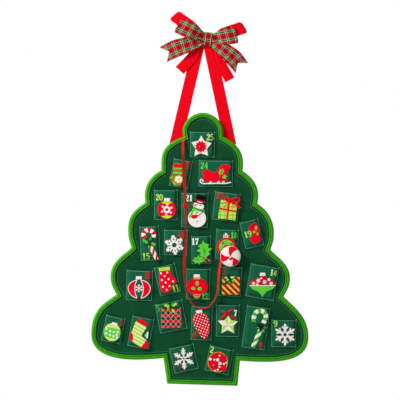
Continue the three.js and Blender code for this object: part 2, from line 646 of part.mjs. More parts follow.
// The felt motif of each day: its shapes round its own middle, where it lies and its felt
const motifs = {
  1: { name: 'snowflake', x: -1.1, y: 1.7, felt: 'whiteFelt', shapes: snowflake({
    radius: 22.9, armWide: 5.4, hub: 6.5, branch: 3.4 }) },
  2: { name: 'bauble', x: -2.5, y: -3.8, tilt: 13, felt: 'redFelt', shapes: bauble(21.8, 8.5, 6) },
  3: { name: 'bauble', x: -1.7, y: -4.9, tilt: 10, felt: 'limeFelt', shapes: bauble(19, 11.6, 6.5) },
  4: { name: 'stocking', x: 0, y: 0, tilt: 0, felt: 'limeFelt', shapes: [polygon([[-10, 31.5], [-3.5, 14],
    [-16.5, -8], [-17.5, -20], [-8, -25.5], [4, -31], [13, -30.5], [15.5, -24], [11.5, -17.5], [3.5, -12.5],
    [14, 13.5], [16.5, 19]].reverse())] },
  5: { name: 'gift', x: -0.2, y: -3, tilt: -1, felt: 'redFelt', shapes: [bar(0, -2, 42, 42),
    ...smallBow(0, 21, 26, 14)] },
  6: { name: 'long_bauble', x: -0.4, y: -3.6, tilt: -6, felt: 'redFelt', shapes: [oval(0, 0, 17, 27.5),
    bar(0, 28.5, 12, 6)] },
  7: { name: 'star', x: -0.2, y: -5.5, felt: 'limeFelt', shapes: [star(0, 0, 21.5, 0.5, 5),
    ...smallBow(0, 20.5, 34, 17)] },
  8: { name: 'candy_cane', x: 0, y: 0, felt: 'greenFelt', shapes: [bentBar([[-9.3, 16.7], [-5, 33],
    [8.7, 37.5], [20, 27], [15, 8], [4, -18], [-6.1, -40]], 9.5), ...smallBow(10.8, 2, 24, 15, 10)] },
  9: { name: 'snowflake', x: 1.9, y: -1.5, felt: 'whiteFelt', shapes: snowflake({
    radius: 23.3, armWide: 6, hub: 7, branch: 3.2 }) },
  10: { name: 'bauble', x: 0.2, y: -5, felt: 'redFelt', shapes: [oval(0, 2, 23.9, 19),
    polygon([[-15, -11], [0, -23.5], [15, -11]]), bar(0, 21, 12, 7)] },
  11: { name: 'mitten', x: -3.2, y: 0.6, tilt: -3, felt: 'redFelt', shapes: mitten(27, 52, 9) },
  12: { name: 'bauble', x: -1.5, y: -4.9, felt: 'redFelt', shapes: [oval(0, 0, 21.5, 18),
    bar(-1, 20.5, 13, 8), bar(-1, -19.5, 15, 8)] },
  13: { name: 'gift', x: 1.7, y: -9.5, felt: 'redFelt', shapes: [bar(0, 0, 37.5, 37),
    ...smallBow(0, 20, 32, 16)] },
  14: { name: 'onion_bauble', x: -0.6, y: -4, felt: 'greenFelt', shapes: [polygon([[-28, 1], [-22, 11],
    [-5, 17], [-6, 24], [6, 24], [5, 17], [22, 11], [28, 1], [20, -12], [0, -26.5], [-20, -12]].reverse())] },
  15: { name: 'candy_cane', x: 0, y: 0, felt: 'redFelt', shapes: [bentBar([[9.9, 13.8], [6, 28],
    [-3.5, 30.5], [-11, 20], [-6, 2], [5, -15], [14.5, -32]], 7.5), ...smallBow(-3, 3.2, 30, 22)] },
  16: { name: 'snowflake', x: -2.5, y: -3.5, felt: 'whiteFelt', shapes: snowflake({
    radius: 20.7, armWide: 6.4, hub: 9.6, branch: 3.2, hole: 5 }) },
  17: { name: 'holly', x: -1.3, y: -3, felt: 'greenFelt', shapes: [leaf(-9, 7, 34, 20, -32),
    leaf(10, 9, 30, 18, 38), leaf(2, -9, 32, 19, 8), oval(13, -16, 5, 5)] },
  18: { name: 'bauble', x: -1.1, y: -5.5, felt: 'redFelt', shapes: bauble(20.5, 10.6, 8) },
  19: { name: 'stocking', x: 0, y: 0, felt: 'redFelt', shapes: [polygon([[-6.5, 13], [7.6, 24],
    [17, 4], [17.5, -12], [8, -20], [-4, -19], [-5, -10], [2, -4]].reverse()), leaf(1, 1, 24, 13, 60)] },
  20: { name: 'bauble', x: 2.3, y: -9.1, felt: 'redFelt', shapes: bauble(19.5, 12.3, 7) },
  21: { name: 'snowman', x: 0, y: -2, felt: 'whiteFelt', shapes: [oval(4.2, -15.4, 19.4, 18.5),
    oval(8.9, 13, 11.6, 11.6), bar(11, 21.5, 25, 4.5, -10), bar(14, 27.5, 18.5, 11, -14),
    polygon([[-2, 12], [-8, 16], [-1, 17]].reverse()), bar(-6, 1, 7, 24, 12),
    bar(-13, 2, 10, 5, 62)] },
  22: { name: 'gift', x: 3.2, y: -5.9, tilt: 7, felt: 'greenFelt', shapes: [bar(0, -1.5, 37.6, 36),
    ...smallBow(0, 19, 26, 12)] },
  23: { name: 'mitten', x: -6.8, y: -3.8, tilt: 8, mirror: true, felt: 'redFelt', shapes: mitten(24, 48, 6) },
  24: { name: 'sleigh', x: 1.5, y: -1.6, felt: 'redFelt', shapes: [polygon([[-30, -18], [-30, -8],
    [-26, 14], [-12, 8], [-4, 2], [12, 4], [17, 17], [30, 16], [29, -2], [24, -13], [28, -15], [28, -19],
    [-22, -20]].reverse())] },
  25: { name: 'star', x: -2.8, y: -3.5, felt: 'whiteFelt', shapes: [star(0, 0, 23.5, 0.48, 5)] }
}

// Mitten with its cuff at the top and the thumb on the right
function mitten(wide, tall, thumb) {
  const half = wide / 2
  const top = tall / 2
  return [polygon([[-half, top], [-half, -top + half], [-half * 0.6, -top + 2], [0, -top],
    [half * 0.6, -top + 2], [half, -top + half], [half, -top + half * 1.3], [half + thumb, -top + half * 1.9],
    [half + thumb, -top + half * 2.6], [half, -top + half * 2.5], [half, top]])]
}

// One pocket round its own middle: flat seams on three sides and a front that stands off the panel
function pocket(wide, tall) {
  const side = wide / 2
  const top = tall / 2
  const columns = [-side, -side + pocketSeam, -side + pocketSeam + pocketSlope,
    side - pocketSeam - pocketSlope, side - pocketSeam, side]
  const lines = [top, -top + pocketSeam + pocketHemSlope, -top + pocketSeam, -top]
  const stands = (column, line) => column > 1 && column < 4 && line < 2
  const rings = lines.map((up, line) => {
    const back = columns.map((x, c) => new THREE.Vector3(
      x, -pocketBack - (stands(c, line) ? pocketRoom : 0), up))
    const front = back.map(p => new THREE.Vector3(p.x, p.y - pocketFelt, p.z)).reverse()
    return [...back, ...front]
  })
  return ribbedSheet(rings)
}

// Closed sheet from rings that run along its back and return along its front
function ribbedSheet(rings) {
  const size = rings[0].length
  const half = size / 2
  const positions = rings.flat().flatMap(p => [p.x, p.y, p.z])
  const index = []
  for (let i = 0; i < rings.length - 1; i++) {
    const a = i * size
    const b = a + size
    for (let k = 0; k < size; k++) {
      const next = (k + 1) % size
      index.push(a + k, b + k, b + next, a + k, b + next, a + next)
    }
  }
  for (const [start, flip] of [[0, false], [(rings.length - 1) * size, true]]) {
    for (let k = 0; k < half - 1; k++) {
      const quad = [start + k, start + k + 1, start + size - 2 - k, start + size - 1 - k]
      if (flip) quad.reverse()
      index.push(quad[0], quad[1], quad[2], quad[0], quad[2], quad[3])
    }
  }
  const geometry = new THREE.BufferGeometry()
  geometry.setAttribute('position', new THREE.Float32BufferAttribute(positions, 3))
  geometry.setIndex(index)
  return outward(geometry)
}

// Stuffed disc with a cloth tab that reaches down into the pocket below it
function markerCandy() {
  const half = candyThick / 2
  const profile = [[0, -half], [candyRadius * 0.5, -half], [candyRadius * 0.82, -half * 0.84],
    [candyRadius * 0.96, -half * 0.45], [candyRadius, 0], [candyRadius * 0.96, half * 0.45],
    [candyRadius * 0.82, half * 0.84], [candyRadius * 0.5, half], [0, half]]
  const disc = new THREE.LatheGeometry(profile.map(([r, y]) => new THREE.Vector2(r, y)), 28)
  const host = rows.flatMap(row => row.pockets.map(p => ({ ...p, down: rowDown(row) + p.below })))
    .find(p => p.day === markerDay)
  const mouth = host.down - host.tall / 2
  const candyDown = mouth - candyAboveMouth
  disc.translate(host.across + candyAside, -candyBack - half, -candyDown)
  const root = { down: candyDown + tabRootDrop, forward: candyBack + tabRootSunk }
  const inMouth = pocketFace - pocketFelt - clearance - tabThick / 2
  const lean = (root.forward - inMouth) / (mouth - root.down)
  const across = host.across + candyAside + tabAside
  const tab = strip(
    [at(across, root.down, root.forward), at(across, mouth + tabBelowMouth, inMouth - lean * tabBelowMouth)],
    () => new THREE.Vector3(1, 0, 0), i => i ? tabTipWide : tabWide, tabThick)
  return joined([disc, tab])
}

// Narrow ribbon that joins the tree to the candy
function markerRibbon() {
  const curve = new THREE.CatmullRomCurve3(markerRoute.map(([x, down, forward]) => at(x, down, forward)))
  const points = curve.getSpacedPoints(markerSteps)
  const faceOn = new THREE.Vector3(0, 1, 0)
  const across = i => {
    const before = points[Math.max(0, i - 1)]
    const after = points[Math.min(points.length - 1, i + 1)]
    return new THREE.Vector3().subVectors(after, before).cross(faceOn)
  }
  return strip(points, across, () => markerRibbonWide, markerRibbonThick)
}

// Tree body
const panelShape = new THREE.Shape(inset(bindingFold))
add('back_panel', slab(panelShape, backPanelBack, backPanelBack + feltThick), materials.backFelt)
add('wadding', slab(panelShape, waddingBack, waddingBack + waddingThick), materials.wadding)
add('front_panel', slab(panelShape, frontPanelBack, panelFace), materials.panelFelt)
add('edge_binding', edgeBinding(), materials.binding)

// Hanger and bow
add('hanger_ribbon', hangerRibbon(), materials.redRibbon)
add('bow_plain_ribbon', plainBow(), materials.redRibbon)
add('bow_plaid_ribbon', plaidBow(), materials.plaidRibbon)
const band = add('bow_band', bowBand(), materials.plaidRibbon)
band.rotation.y = bandTurn * degree
band.position.set(bowAcross, -(bandBack + bandFront) / 2, bowUp)

// A pocket and its motif for each day
for (const row of rows) {
  for (const day of row.pockets) {
    const label = String(day.day).padStart(2, '0')
    const sewn = add(`pocket_${label}`, pocket(day.wide, day.tall), materials.pocketFelt)
    sewn.rotation.y = day.tilt * degree
    sewn.position.copy(at(day.across, rowDown(row) + day.below, 0))
    const motif = motifs[day.day]
    const pieces = motif.shapes.map(shape => slab(shape, motifBack, motifFace))
    const cut = add(`motif_${label}_${motif.name}`, joined(pieces), materials[motif.felt])
    cut.rotation.y = (motif.tilt ?? 0) * degree
    cut.position.copy(at(day.across + motif.x, rowDown(row) + day.below - motif.y, 0))
  }
}

// Marker
add('marker_ribbon', markerRibbon(), materials.satin)
add('marker_candy', markerCandy(), materials.candyFelt)

export default calendar
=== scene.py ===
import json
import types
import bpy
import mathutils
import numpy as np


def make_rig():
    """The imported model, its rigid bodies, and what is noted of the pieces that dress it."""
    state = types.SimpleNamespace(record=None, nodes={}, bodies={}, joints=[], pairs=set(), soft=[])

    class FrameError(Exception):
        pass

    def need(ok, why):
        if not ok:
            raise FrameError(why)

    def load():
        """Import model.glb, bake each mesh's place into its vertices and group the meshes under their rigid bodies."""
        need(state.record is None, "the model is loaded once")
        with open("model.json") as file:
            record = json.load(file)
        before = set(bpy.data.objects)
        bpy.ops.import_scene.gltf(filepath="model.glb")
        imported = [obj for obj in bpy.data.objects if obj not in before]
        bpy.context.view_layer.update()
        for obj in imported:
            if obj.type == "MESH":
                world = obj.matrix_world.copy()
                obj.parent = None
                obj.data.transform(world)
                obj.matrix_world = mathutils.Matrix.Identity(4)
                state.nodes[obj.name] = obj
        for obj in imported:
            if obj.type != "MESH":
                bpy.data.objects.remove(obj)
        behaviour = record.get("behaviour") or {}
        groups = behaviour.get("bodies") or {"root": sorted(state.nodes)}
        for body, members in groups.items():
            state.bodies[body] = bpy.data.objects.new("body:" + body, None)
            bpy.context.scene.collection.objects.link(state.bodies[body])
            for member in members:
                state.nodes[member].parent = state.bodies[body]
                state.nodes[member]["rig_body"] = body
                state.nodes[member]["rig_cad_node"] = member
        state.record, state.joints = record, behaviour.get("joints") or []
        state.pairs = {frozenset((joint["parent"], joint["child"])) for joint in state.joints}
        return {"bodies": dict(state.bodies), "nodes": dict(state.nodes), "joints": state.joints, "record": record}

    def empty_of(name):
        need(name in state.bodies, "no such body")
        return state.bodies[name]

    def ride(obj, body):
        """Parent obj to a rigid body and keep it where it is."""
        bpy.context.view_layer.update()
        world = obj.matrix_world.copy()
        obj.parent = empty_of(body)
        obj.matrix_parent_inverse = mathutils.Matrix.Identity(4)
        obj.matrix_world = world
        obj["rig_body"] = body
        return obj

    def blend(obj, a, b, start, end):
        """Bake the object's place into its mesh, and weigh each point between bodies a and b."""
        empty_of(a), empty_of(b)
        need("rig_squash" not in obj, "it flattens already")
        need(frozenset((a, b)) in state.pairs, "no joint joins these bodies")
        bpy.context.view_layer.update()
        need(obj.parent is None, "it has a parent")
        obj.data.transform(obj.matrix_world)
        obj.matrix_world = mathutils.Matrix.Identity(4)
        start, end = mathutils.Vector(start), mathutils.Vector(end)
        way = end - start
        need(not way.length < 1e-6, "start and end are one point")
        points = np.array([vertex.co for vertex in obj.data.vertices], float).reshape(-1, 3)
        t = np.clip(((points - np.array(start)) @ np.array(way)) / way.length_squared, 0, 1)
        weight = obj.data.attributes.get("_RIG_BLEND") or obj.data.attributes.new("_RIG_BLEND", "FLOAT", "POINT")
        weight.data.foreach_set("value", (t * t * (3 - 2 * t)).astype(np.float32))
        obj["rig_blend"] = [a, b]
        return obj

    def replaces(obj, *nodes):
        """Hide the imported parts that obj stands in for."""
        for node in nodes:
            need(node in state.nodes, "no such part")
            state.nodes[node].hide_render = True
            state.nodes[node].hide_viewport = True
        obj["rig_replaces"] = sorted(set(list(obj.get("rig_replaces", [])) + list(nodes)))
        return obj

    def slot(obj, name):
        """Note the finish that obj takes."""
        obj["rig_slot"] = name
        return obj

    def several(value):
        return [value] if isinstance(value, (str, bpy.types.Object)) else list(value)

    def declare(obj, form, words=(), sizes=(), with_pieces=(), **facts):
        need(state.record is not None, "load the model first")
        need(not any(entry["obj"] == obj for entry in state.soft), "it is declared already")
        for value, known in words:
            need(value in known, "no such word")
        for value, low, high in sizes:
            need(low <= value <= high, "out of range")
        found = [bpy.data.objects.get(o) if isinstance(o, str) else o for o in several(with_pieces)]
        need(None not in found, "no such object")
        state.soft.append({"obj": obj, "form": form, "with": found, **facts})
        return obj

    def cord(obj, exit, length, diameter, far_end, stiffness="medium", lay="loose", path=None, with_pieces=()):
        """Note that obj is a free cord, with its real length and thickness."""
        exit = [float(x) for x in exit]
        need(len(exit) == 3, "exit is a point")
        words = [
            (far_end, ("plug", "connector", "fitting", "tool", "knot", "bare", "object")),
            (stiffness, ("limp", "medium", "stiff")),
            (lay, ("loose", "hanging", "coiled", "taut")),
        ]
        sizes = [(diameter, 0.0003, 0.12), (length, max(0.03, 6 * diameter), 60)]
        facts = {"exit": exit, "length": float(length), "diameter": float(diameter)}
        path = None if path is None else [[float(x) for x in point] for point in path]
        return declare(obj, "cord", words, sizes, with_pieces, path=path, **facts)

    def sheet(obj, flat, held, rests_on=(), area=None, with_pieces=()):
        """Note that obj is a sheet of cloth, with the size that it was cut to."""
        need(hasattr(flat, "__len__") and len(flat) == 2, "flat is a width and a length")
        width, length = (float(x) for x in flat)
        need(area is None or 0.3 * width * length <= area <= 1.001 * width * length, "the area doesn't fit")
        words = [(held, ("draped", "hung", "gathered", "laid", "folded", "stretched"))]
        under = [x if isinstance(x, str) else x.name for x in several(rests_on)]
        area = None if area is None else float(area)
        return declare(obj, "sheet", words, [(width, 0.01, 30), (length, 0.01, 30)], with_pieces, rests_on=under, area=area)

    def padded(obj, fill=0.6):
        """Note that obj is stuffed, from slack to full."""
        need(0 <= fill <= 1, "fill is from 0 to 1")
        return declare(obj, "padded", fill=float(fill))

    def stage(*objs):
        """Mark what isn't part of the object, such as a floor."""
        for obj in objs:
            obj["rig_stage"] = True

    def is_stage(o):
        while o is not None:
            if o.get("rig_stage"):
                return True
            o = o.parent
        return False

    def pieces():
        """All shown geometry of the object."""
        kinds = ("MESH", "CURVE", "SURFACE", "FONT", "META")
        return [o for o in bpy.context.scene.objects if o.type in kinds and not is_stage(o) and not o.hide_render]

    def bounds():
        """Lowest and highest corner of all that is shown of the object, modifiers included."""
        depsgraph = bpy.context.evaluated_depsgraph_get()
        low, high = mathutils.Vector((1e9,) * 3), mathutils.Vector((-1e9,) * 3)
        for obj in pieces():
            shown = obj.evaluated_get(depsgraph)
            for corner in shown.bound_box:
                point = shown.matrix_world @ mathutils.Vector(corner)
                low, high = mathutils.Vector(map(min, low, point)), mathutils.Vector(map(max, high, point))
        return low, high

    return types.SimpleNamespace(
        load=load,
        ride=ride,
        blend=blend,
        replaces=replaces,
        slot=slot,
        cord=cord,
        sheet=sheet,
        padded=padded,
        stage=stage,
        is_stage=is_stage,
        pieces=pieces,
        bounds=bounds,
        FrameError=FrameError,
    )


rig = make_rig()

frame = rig.load()

import json
import math

import bmesh
import bpy
import numpy as np
from mathutils import Vector, geometry, noise

# A felt Christmas tree with 25 numbered pockets that hangs from a ribbon with a bow.
# Sizes are millimetres across, down and forward of the crotch of the hanging ribbon.
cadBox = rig.bounds()
scene = bpy.context.scene
mm = 0.001


def at(across, down, forward):
    return Vector((across * mm, -forward * mm, -down * mm))


def mix(a, b, share):
    return a + (b - a) * share


def smooth(low, high, value):
    share = min(1.0, max(0.0, (value - low) / (high - low)))
    return share * share * (3 - 2 * share)


def addObject(name, data):
    thing = bpy.data.objects.new(name, data)
    scene.collection.objects.link(thing)
    return thing


# Camera: the photo is square, 400 pixels wide, and one pixel is 2.117 mm at the panel
view = {"pixels": 400, "mmPerPixel": 2.117, "crotchPixel": (204, 48.5), "distance": 3.2, "plane": 10}


def makeCamera():
    wide = view["pixels"] * view["mmPerPixel"] * mm
    middle = view["pixels"] / 2
    across = (middle - view["crotchPixel"][0]) * view["mmPerPixel"]
    down = (middle - view["crotchPixel"][1]) * view["mmPerPixel"]
    data = bpy.data.cameras.new("camera")
    data.sensor_width = 36
    data.lens = data.sensor_width * view["distance"] / wide
    data.clip_end = 50
    camera = addObject("camera", data)
    camera.location = at(across, down, view["plane"]) - Vector((0, view["distance"], 0))
    camera.rotation_euler = (math.radians(90), 0, 0)
    scene.camera = camera


makeCamera()
print("camera placed")


# Materials

def linear(colour, shade=1.0):
    values = [int(colour[i:i + 2], 16) / 255 for i in (1, 3, 5)]
    plain = [v / 12.92 if v <= 0.04045 else ((v + 0.055) / 1.055) ** 2.4 for v in values]
    return (*[min(1.0, v * shade) for v in plain], 1.0)


def addNode(tree, kind, inputs=None, stops=(), **settings):
    # Inputs are values, sockets, or nodes that stand for their first output; stops are bands of a colour ramp
    node = tree.nodes.new(kind)
    for name, value in settings.items():
        setattr(node, name, value)
    for key, value in (inputs or {}).items():
        if isinstance(value, bpy.types.Node):
            value = value.outputs[0]
        if isinstance(value, bpy.types.NodeSocket):
            tree.links.new(value, node.inputs[key])
        else:
            node.inputs[key].default_value = value
    if stops:
        node.color_ramp.interpolation = "CONSTANT"
        while len(node.color_ramp.elements) < len(stops):
            node.color_ramp.elements.new(0.5)
        for element, (position, colour) in zip(node.color_ramp.elements, stops):
            element.position, element.color = position, linear(colour)
    return node


def newMaterial(name, space="UV"):
    # An empty material and the coordinates it's drawn in: UV is along and across the cloth, in mm
    material = bpy.data.materials.new(name)
    material.use_nodes = True
    tree = material.node_tree
    tree.nodes.clear()
    return material, tree, addNode(tree, "ShaderNodeTexCoord").outputs[space]


def clothShader(material, colour, height, depth, roughness, sheen, sheenTint, sheenRoughness=0.5, gloss=0.05):
    tree = material.node_tree
    bump = addNode(tree, "ShaderNodeBump", {"Height": height, "Distance": depth * mm, "Strength": 1.0})
    shader = addNode(tree, "ShaderNodeBsdfPrincipled", {
        "Base Color": colour, "Normal": bump, "Roughness": roughness, "Sheen Weight": sheen,
        "Sheen Roughness": sheenRoughness, "Sheen Tint": linear(*sheenTint), "Specular IOR Level": gloss})
    addNode(tree, "ShaderNodeOutputMaterial", {"Surface": shader})
    return material


def feltMaterial(name, colour, pattern=None, uneven=0.22, clump=9, fibre=1.3, depth=0.35):
    # Needled felt: fibres about a millimetre apart, dyed a little unevenly in clumps; both sizes are in mm. Where the
    # clumps are broad and strong, as on the panels, their tone is partly painted light and shade
    material, tree, spot = newMaterial(name, "Object")
    uv = addNode(tree, "ShaderNodeTexCoord").outputs["UV"]
    dyeAndShadeClumps = addNode(tree, "ShaderNodeTexNoise", {"Vector": spot, "Scale": 1000 / clump, "Detail": 3.0, "Roughness": 0.6})
    fibres = addNode(tree, "ShaderNodeTexNoise", {
        "Vector": spot, "Scale": 1000 / fibre, "Detail": 3.0, "Roughness": 0.7})
    both = addNode(tree, "ShaderNodeMath", {0: dyeAndShadeClumps, 1: fibres}, operation="ADD")
    shade = addNode(tree, "ShaderNodeMapRange", {
        "Value": both, "From Min": 0.6, "From Max": 1.4, "To Min": 1 - uneven, "To Max": 1 + uneven})
    tint = addNode(tree, "ShaderNodeVectorMath", {
        0: pattern(tree, uv) if pattern else linear(colour)[:3], 1: shade}, operation="MULTIPLY")
    return clothShader(material, tint, fibres, depth, 0.95, 0.04, (colour, 1.6))


def fraction(tree, value, pitch, offset=0.0):
    scaled = addNode(tree, "ShaderNodeMath", {0: value, 1: 1 / pitch, 2: offset}, operation="MULTIPLY_ADD")
    return addNode(tree, "ShaderNodeMath", {0: scaled}, operation="FRACT")


def ridges(tree, value, pitch):
    return addNode(tree, "ShaderNodeMath", {0: fraction(tree, value, pitch), 1: 0.5}, operation="PINGPONG")


def stripes(first, second, pitch, slant=0.0, share=0.5):
    def build(tree, uv):
        along, across = addNode(tree, "ShaderNodeSeparateXYZ", {0: uv}).outputs[:2]
        leant = addNode(tree, "ShaderNodeMath", {0: across, 1: slant, 2: along}, operation="MULTIPLY_ADD")
        return addNode(tree, "ShaderNodeValToRGB", {"Fac": fraction(tree, leant, pitch)},
                       stops=[(0, first), (share, second)])
    return build


def dotRows(ground, dot, pitch, radius, turn=0.35):
    def build(tree, uv):
        spot = addNode(tree, "ShaderNodeMapping", {
            "Vector": uv, "Rotation": (0, 0, turn), "Scale": (1 / pitch, 1 / pitch, 1)})
        for operation, value in (("FRACTION", (0, 0, 0)), ("SUBTRACT", (0.5, 0.5, 0)), ("MULTIPLY", (1, 1, 0)),
                                 ("LENGTH", (0, 0, 0))):
            spot = addNode(tree, "ShaderNodeVectorMath", {0: spot, 1: value}, operation=operation)
        return addNode(tree, "ShaderNodeValToRGB", {"Fac": spot.outputs["Value"]},
                       stops=[(0, dot), (radius / pitch, ground)])
    return build


def diamonds(first, second, line, wide, tall, lineShare=0.09):
    def build(tree, uv):
        folded = []
        for value, pitch in zip(addNode(tree, "ShaderNodeSeparateXYZ", {0: uv}).outputs, (wide, tall)):
            centred = addNode(tree, "ShaderNodeMath", {0: fraction(tree, value, pitch), 1: 0.5}, operation="SUBTRACT")
            folded.append(addNode(tree, "ShaderNodeMath", {0: centred}, operation="ABSOLUTE"))
        total = addNode(tree, "ShaderNodeMath", dict(enumerate(folded)), operation="ADD")
        return addNode(tree, "ShaderNodeValToRGB", {"Fac": total}, stops=[
            (0, first), (0.5 - lineShare, line), (0.5 + lineShare, second)])
    return build


def bindingMaterial(name, colour, dark):
    # Sateen bias tape: a fine cotton twill with a soft shine, a little uneven where it puckers
    material, tree, uv = newMaterial(name)
    along, across = addNode(tree, "ShaderNodeSeparateXYZ", {0: uv}).outputs[:2]
    twill = addNode(tree, "ShaderNodeMath", {0: across, 1: along}, operation="ADD")
    ribs = ridges(tree, twill, 1.2)
    wear = addNode(tree, "ShaderNodeTexNoise", {"Vector": uv, "Scale": 1 / 14, "Detail": 2.0})
    shade = addNode(tree, "ShaderNodeMix", {0: wear, 6: linear(dark), 7: linear(colour)}, data_type="RGBA")
    return clothShader(material, shade.outputs[2], ribs, 0.12, 0.42, 0.1, ("#b8ff60",), 0.4, 0.1)


def grosgrainMaterial(name, colour, dark):
    # Grosgrain: polyester ribbon woven with ribs across it, which dull its shine; its ribs are 1.6 mm apart here
    # and about one a millimetre on the real thing
    material, tree, uv = newMaterial(name)
    along = addNode(tree, "ShaderNodeSeparateXYZ", {0: uv})
    ribs = ridges(tree, along, 1.6)
    wear = addNode(tree, "ShaderNodeTexNoise", {"Vector": uv, "Scale": 1 / 9, "Detail": 3.0})
    # The ribs also set the colour: their hollows are painted shade and their crests painted light, over a random uneven
    # tone
    share = addNode(tree, "ShaderNodeMath", {0: ribs, 1: 0.9, 2: wear}, operation="MULTIPLY_ADD")
    shade = addNode(tree, "ShaderNodeMix", {0: share, 6: linear(dark), 7: linear(colour)}, data_type="RGBA")
    return clothShader(material, shade.outputs[2], ribs, 0.25, 0.7, 0.0, ("#ff3a2a",))


# The plaid's colours are at shares of its repeat in mm, the same for warp and weft
plaid = {
    "repeat": 17.5, "warpShift": 0.3, "weftShare": 0.7, "twill": 1.5, "cream": "#f6eec4", "creamWeight": (0.25, 0.62),
    "sett": [(0, "#20040c"), (0.05, "#d2001c"), (0.31, "#0a7a2a"), (0.69, "#d2001c"), (0.95, "#20040c")],
    "lines": [(0, "#000000"), (0.37, "#ffffff"), (0.42, "#000000"), (0.58, "#ffffff"), (0.63, "#000000")],
}


def plaidMaterial(name):
    # Yarn dyed plaid ribbon: warp and weft share one sett of red, green, near black and thin cream lines
    material, tree, uv = newMaterial(name)
    along, across = addNode(tree, "ShaderNodeSeparateXYZ", {0: uv}).outputs[:2]
    warp, weft = fraction(tree, along, plaid["repeat"], plaid["warpShift"]), fraction(tree, across, plaid["repeat"])
    # Where warp and weft differ the cloth is darker, and the cream lines lie over both
    mixed = []
    for stops, blend, share in ((plaid["sett"], "DARKEN", plaid["weftShare"]), (plaid["lines"], "LIGHTEN", 1.0)):
        first, second = (addNode(tree, "ShaderNodeValToRGB", {"Fac": value}, stops=stops) for value in (weft, warp))
        mixed.append(addNode(tree, "ShaderNodeMix", {0: share, 6: first, 7: second},
                             data_type="RGBA", blend_type=blend).outputs[2])
    leant = addNode(tree, "ShaderNodeMath", {0: along, 1: across}, operation="ADD")
    twill = ridges(tree, leant, plaid["twill"])
    share = addNode(tree, "ShaderNodeMapRange", {
        "Value": twill, "From Min": 0.0, "From Max": 0.5, "To Min": plaid["creamWeight"][0],
        "To Max": plaid["creamWeight"][1]})
    weight = addNode(tree, "ShaderNodeMath", {0: mixed[1], 1: share}, operation="MULTIPLY")
    colour = addNode(tree, "ShaderNodeMix", {
        0: weight, 6: mixed[0], 7: linear(plaid["cream"])}, data_type="RGBA")
    return clothShader(material, colour.outputs[2], twill, 0.15, 0.6, 0.03, ("#ff8070",))


def satinMaterial(name, colour, dark):
    # Single face satin: long floats along the ribbon give a bright, soft shine
    material, tree, uv = newMaterial(name)
    stretched = addNode(tree, "ShaderNodeMapping", {"Vector": uv, "Scale": (0.05, 1.6, 1.0)})
    floats = addNode(tree, "ShaderNodeTexNoise", {"Vector": stretched, "Scale": 1.0, "Detail": 2.0})
    shade = addNode(tree, "ShaderNodeMix", {0: floats, 6: linear(dark), 7: linear(colour)}, data_type="RGBA")
    return clothShader(material, shade.outputs[2], floats, 0.1, 0.4, 0.04, ("#ff5040",), 0.5, 0.2)


def threadMaterial(name, colour):
    # Spun polyester sewing thread: two plies twisted, with a slight shine
    material, tree, spot = newMaterial(name, "Object")
    plies = addNode(tree, "ShaderNodeTexWave", {"Vector": spot, "Scale": 320.0, "Distortion": 0.6},
                    bands_direction="DIAGONAL").outputs["Fac"]
    # Painted shade and highlight: the thread's own colour darker and lighter in bands along the twist of its plies
    shade = addNode(tree, "ShaderNodeMix", {0: plies, 6: linear(colour, 0.7), 7: linear(colour, 1.1)}, data_type="RGBA")
    return clothShader(material, shade.outputs[2], plies, 0.1, 0.6, 0.2, ("#ffffff",))


def beadMaterial(name, colour, dark):
    # Lacquered wooden bead: glossy, darker where the lacquer pools, every 2.5 mm or so
    material, tree, spot = newMaterial(name, "Object")
    pools = addNode(tree, "ShaderNodeTexNoise", {"Vector": spot, "Scale": 1000 / 2.5, "Detail": 2.0})
    shade = addNode(tree, "ShaderNodeMix", {0: pools, 6: linear(dark), 7: linear(colour)}, data_type="RGBA")
    shader = addNode(tree, "ShaderNodeBsdfPrincipled", {
        "Base Color": shade.outputs[2], "Roughness": 0.18, "Coat Weight": 0.6, "Coat Roughness": 0.08})
    addNode(tree, "ShaderNodeOutputMaterial", {"Surface": shader})
    return material


# Bottle green craft felt: needled acrylic fibres, flat and matte, with a faint nap; its broad clumps of lighter and
# darker tone are partly uneven dye and partly painted light and shade of the padded panel's soft swells
panelFelt = feltMaterial("bottle green craft felt", "#11492b", uneven=0.3, clump=26, fibre=2.2, depth=0.5)
backFelt = feltMaterial("bottle green backing felt", "#11492b", uneven=0.2, clump=30, fibre=2.2, depth=0.5)
# The pockets are a brighter felt of the same make
pocketFelt = feltMaterial("pine green craft felt", "#175d3f", uneven=0.24, clump=18, fibre=2.0, depth=0.45)
# Bonded polyester wadding: white, open and fluffy
waddingFibre = feltMaterial("bonded polyester wadding", "#f0eee8", uneven=0.1, clump=6, fibre=2.5, depth=1.0)
bindingTape = bindingMaterial("leaf green sateen bias tape", "#42ae10", "#2c8606")
redGrosgrain = grosgrainMaterial("scarlet grosgrain ribbon", "#ee0018", "#d20014")
plaidRibbon = plaidMaterial("woven plaid ribbon")
redSatin = satinMaterial("scarlet satin ribbon", "#f8160e", "#c00a0c")
seamThread = threadMaterial("sage green sewing thread", "#7cc0a0")
edgeThread = threadMaterial("grey green sewing thread", "#5c9474")
redThread = threadMaterial("red sewing thread", "#c20018")
berryBead = beadMaterial("dark red lacquered bead", "#a01022", "#4a0610")
pearlBead = beadMaterial("pearl bead", "#f6e9dc", "#d8c2b0")

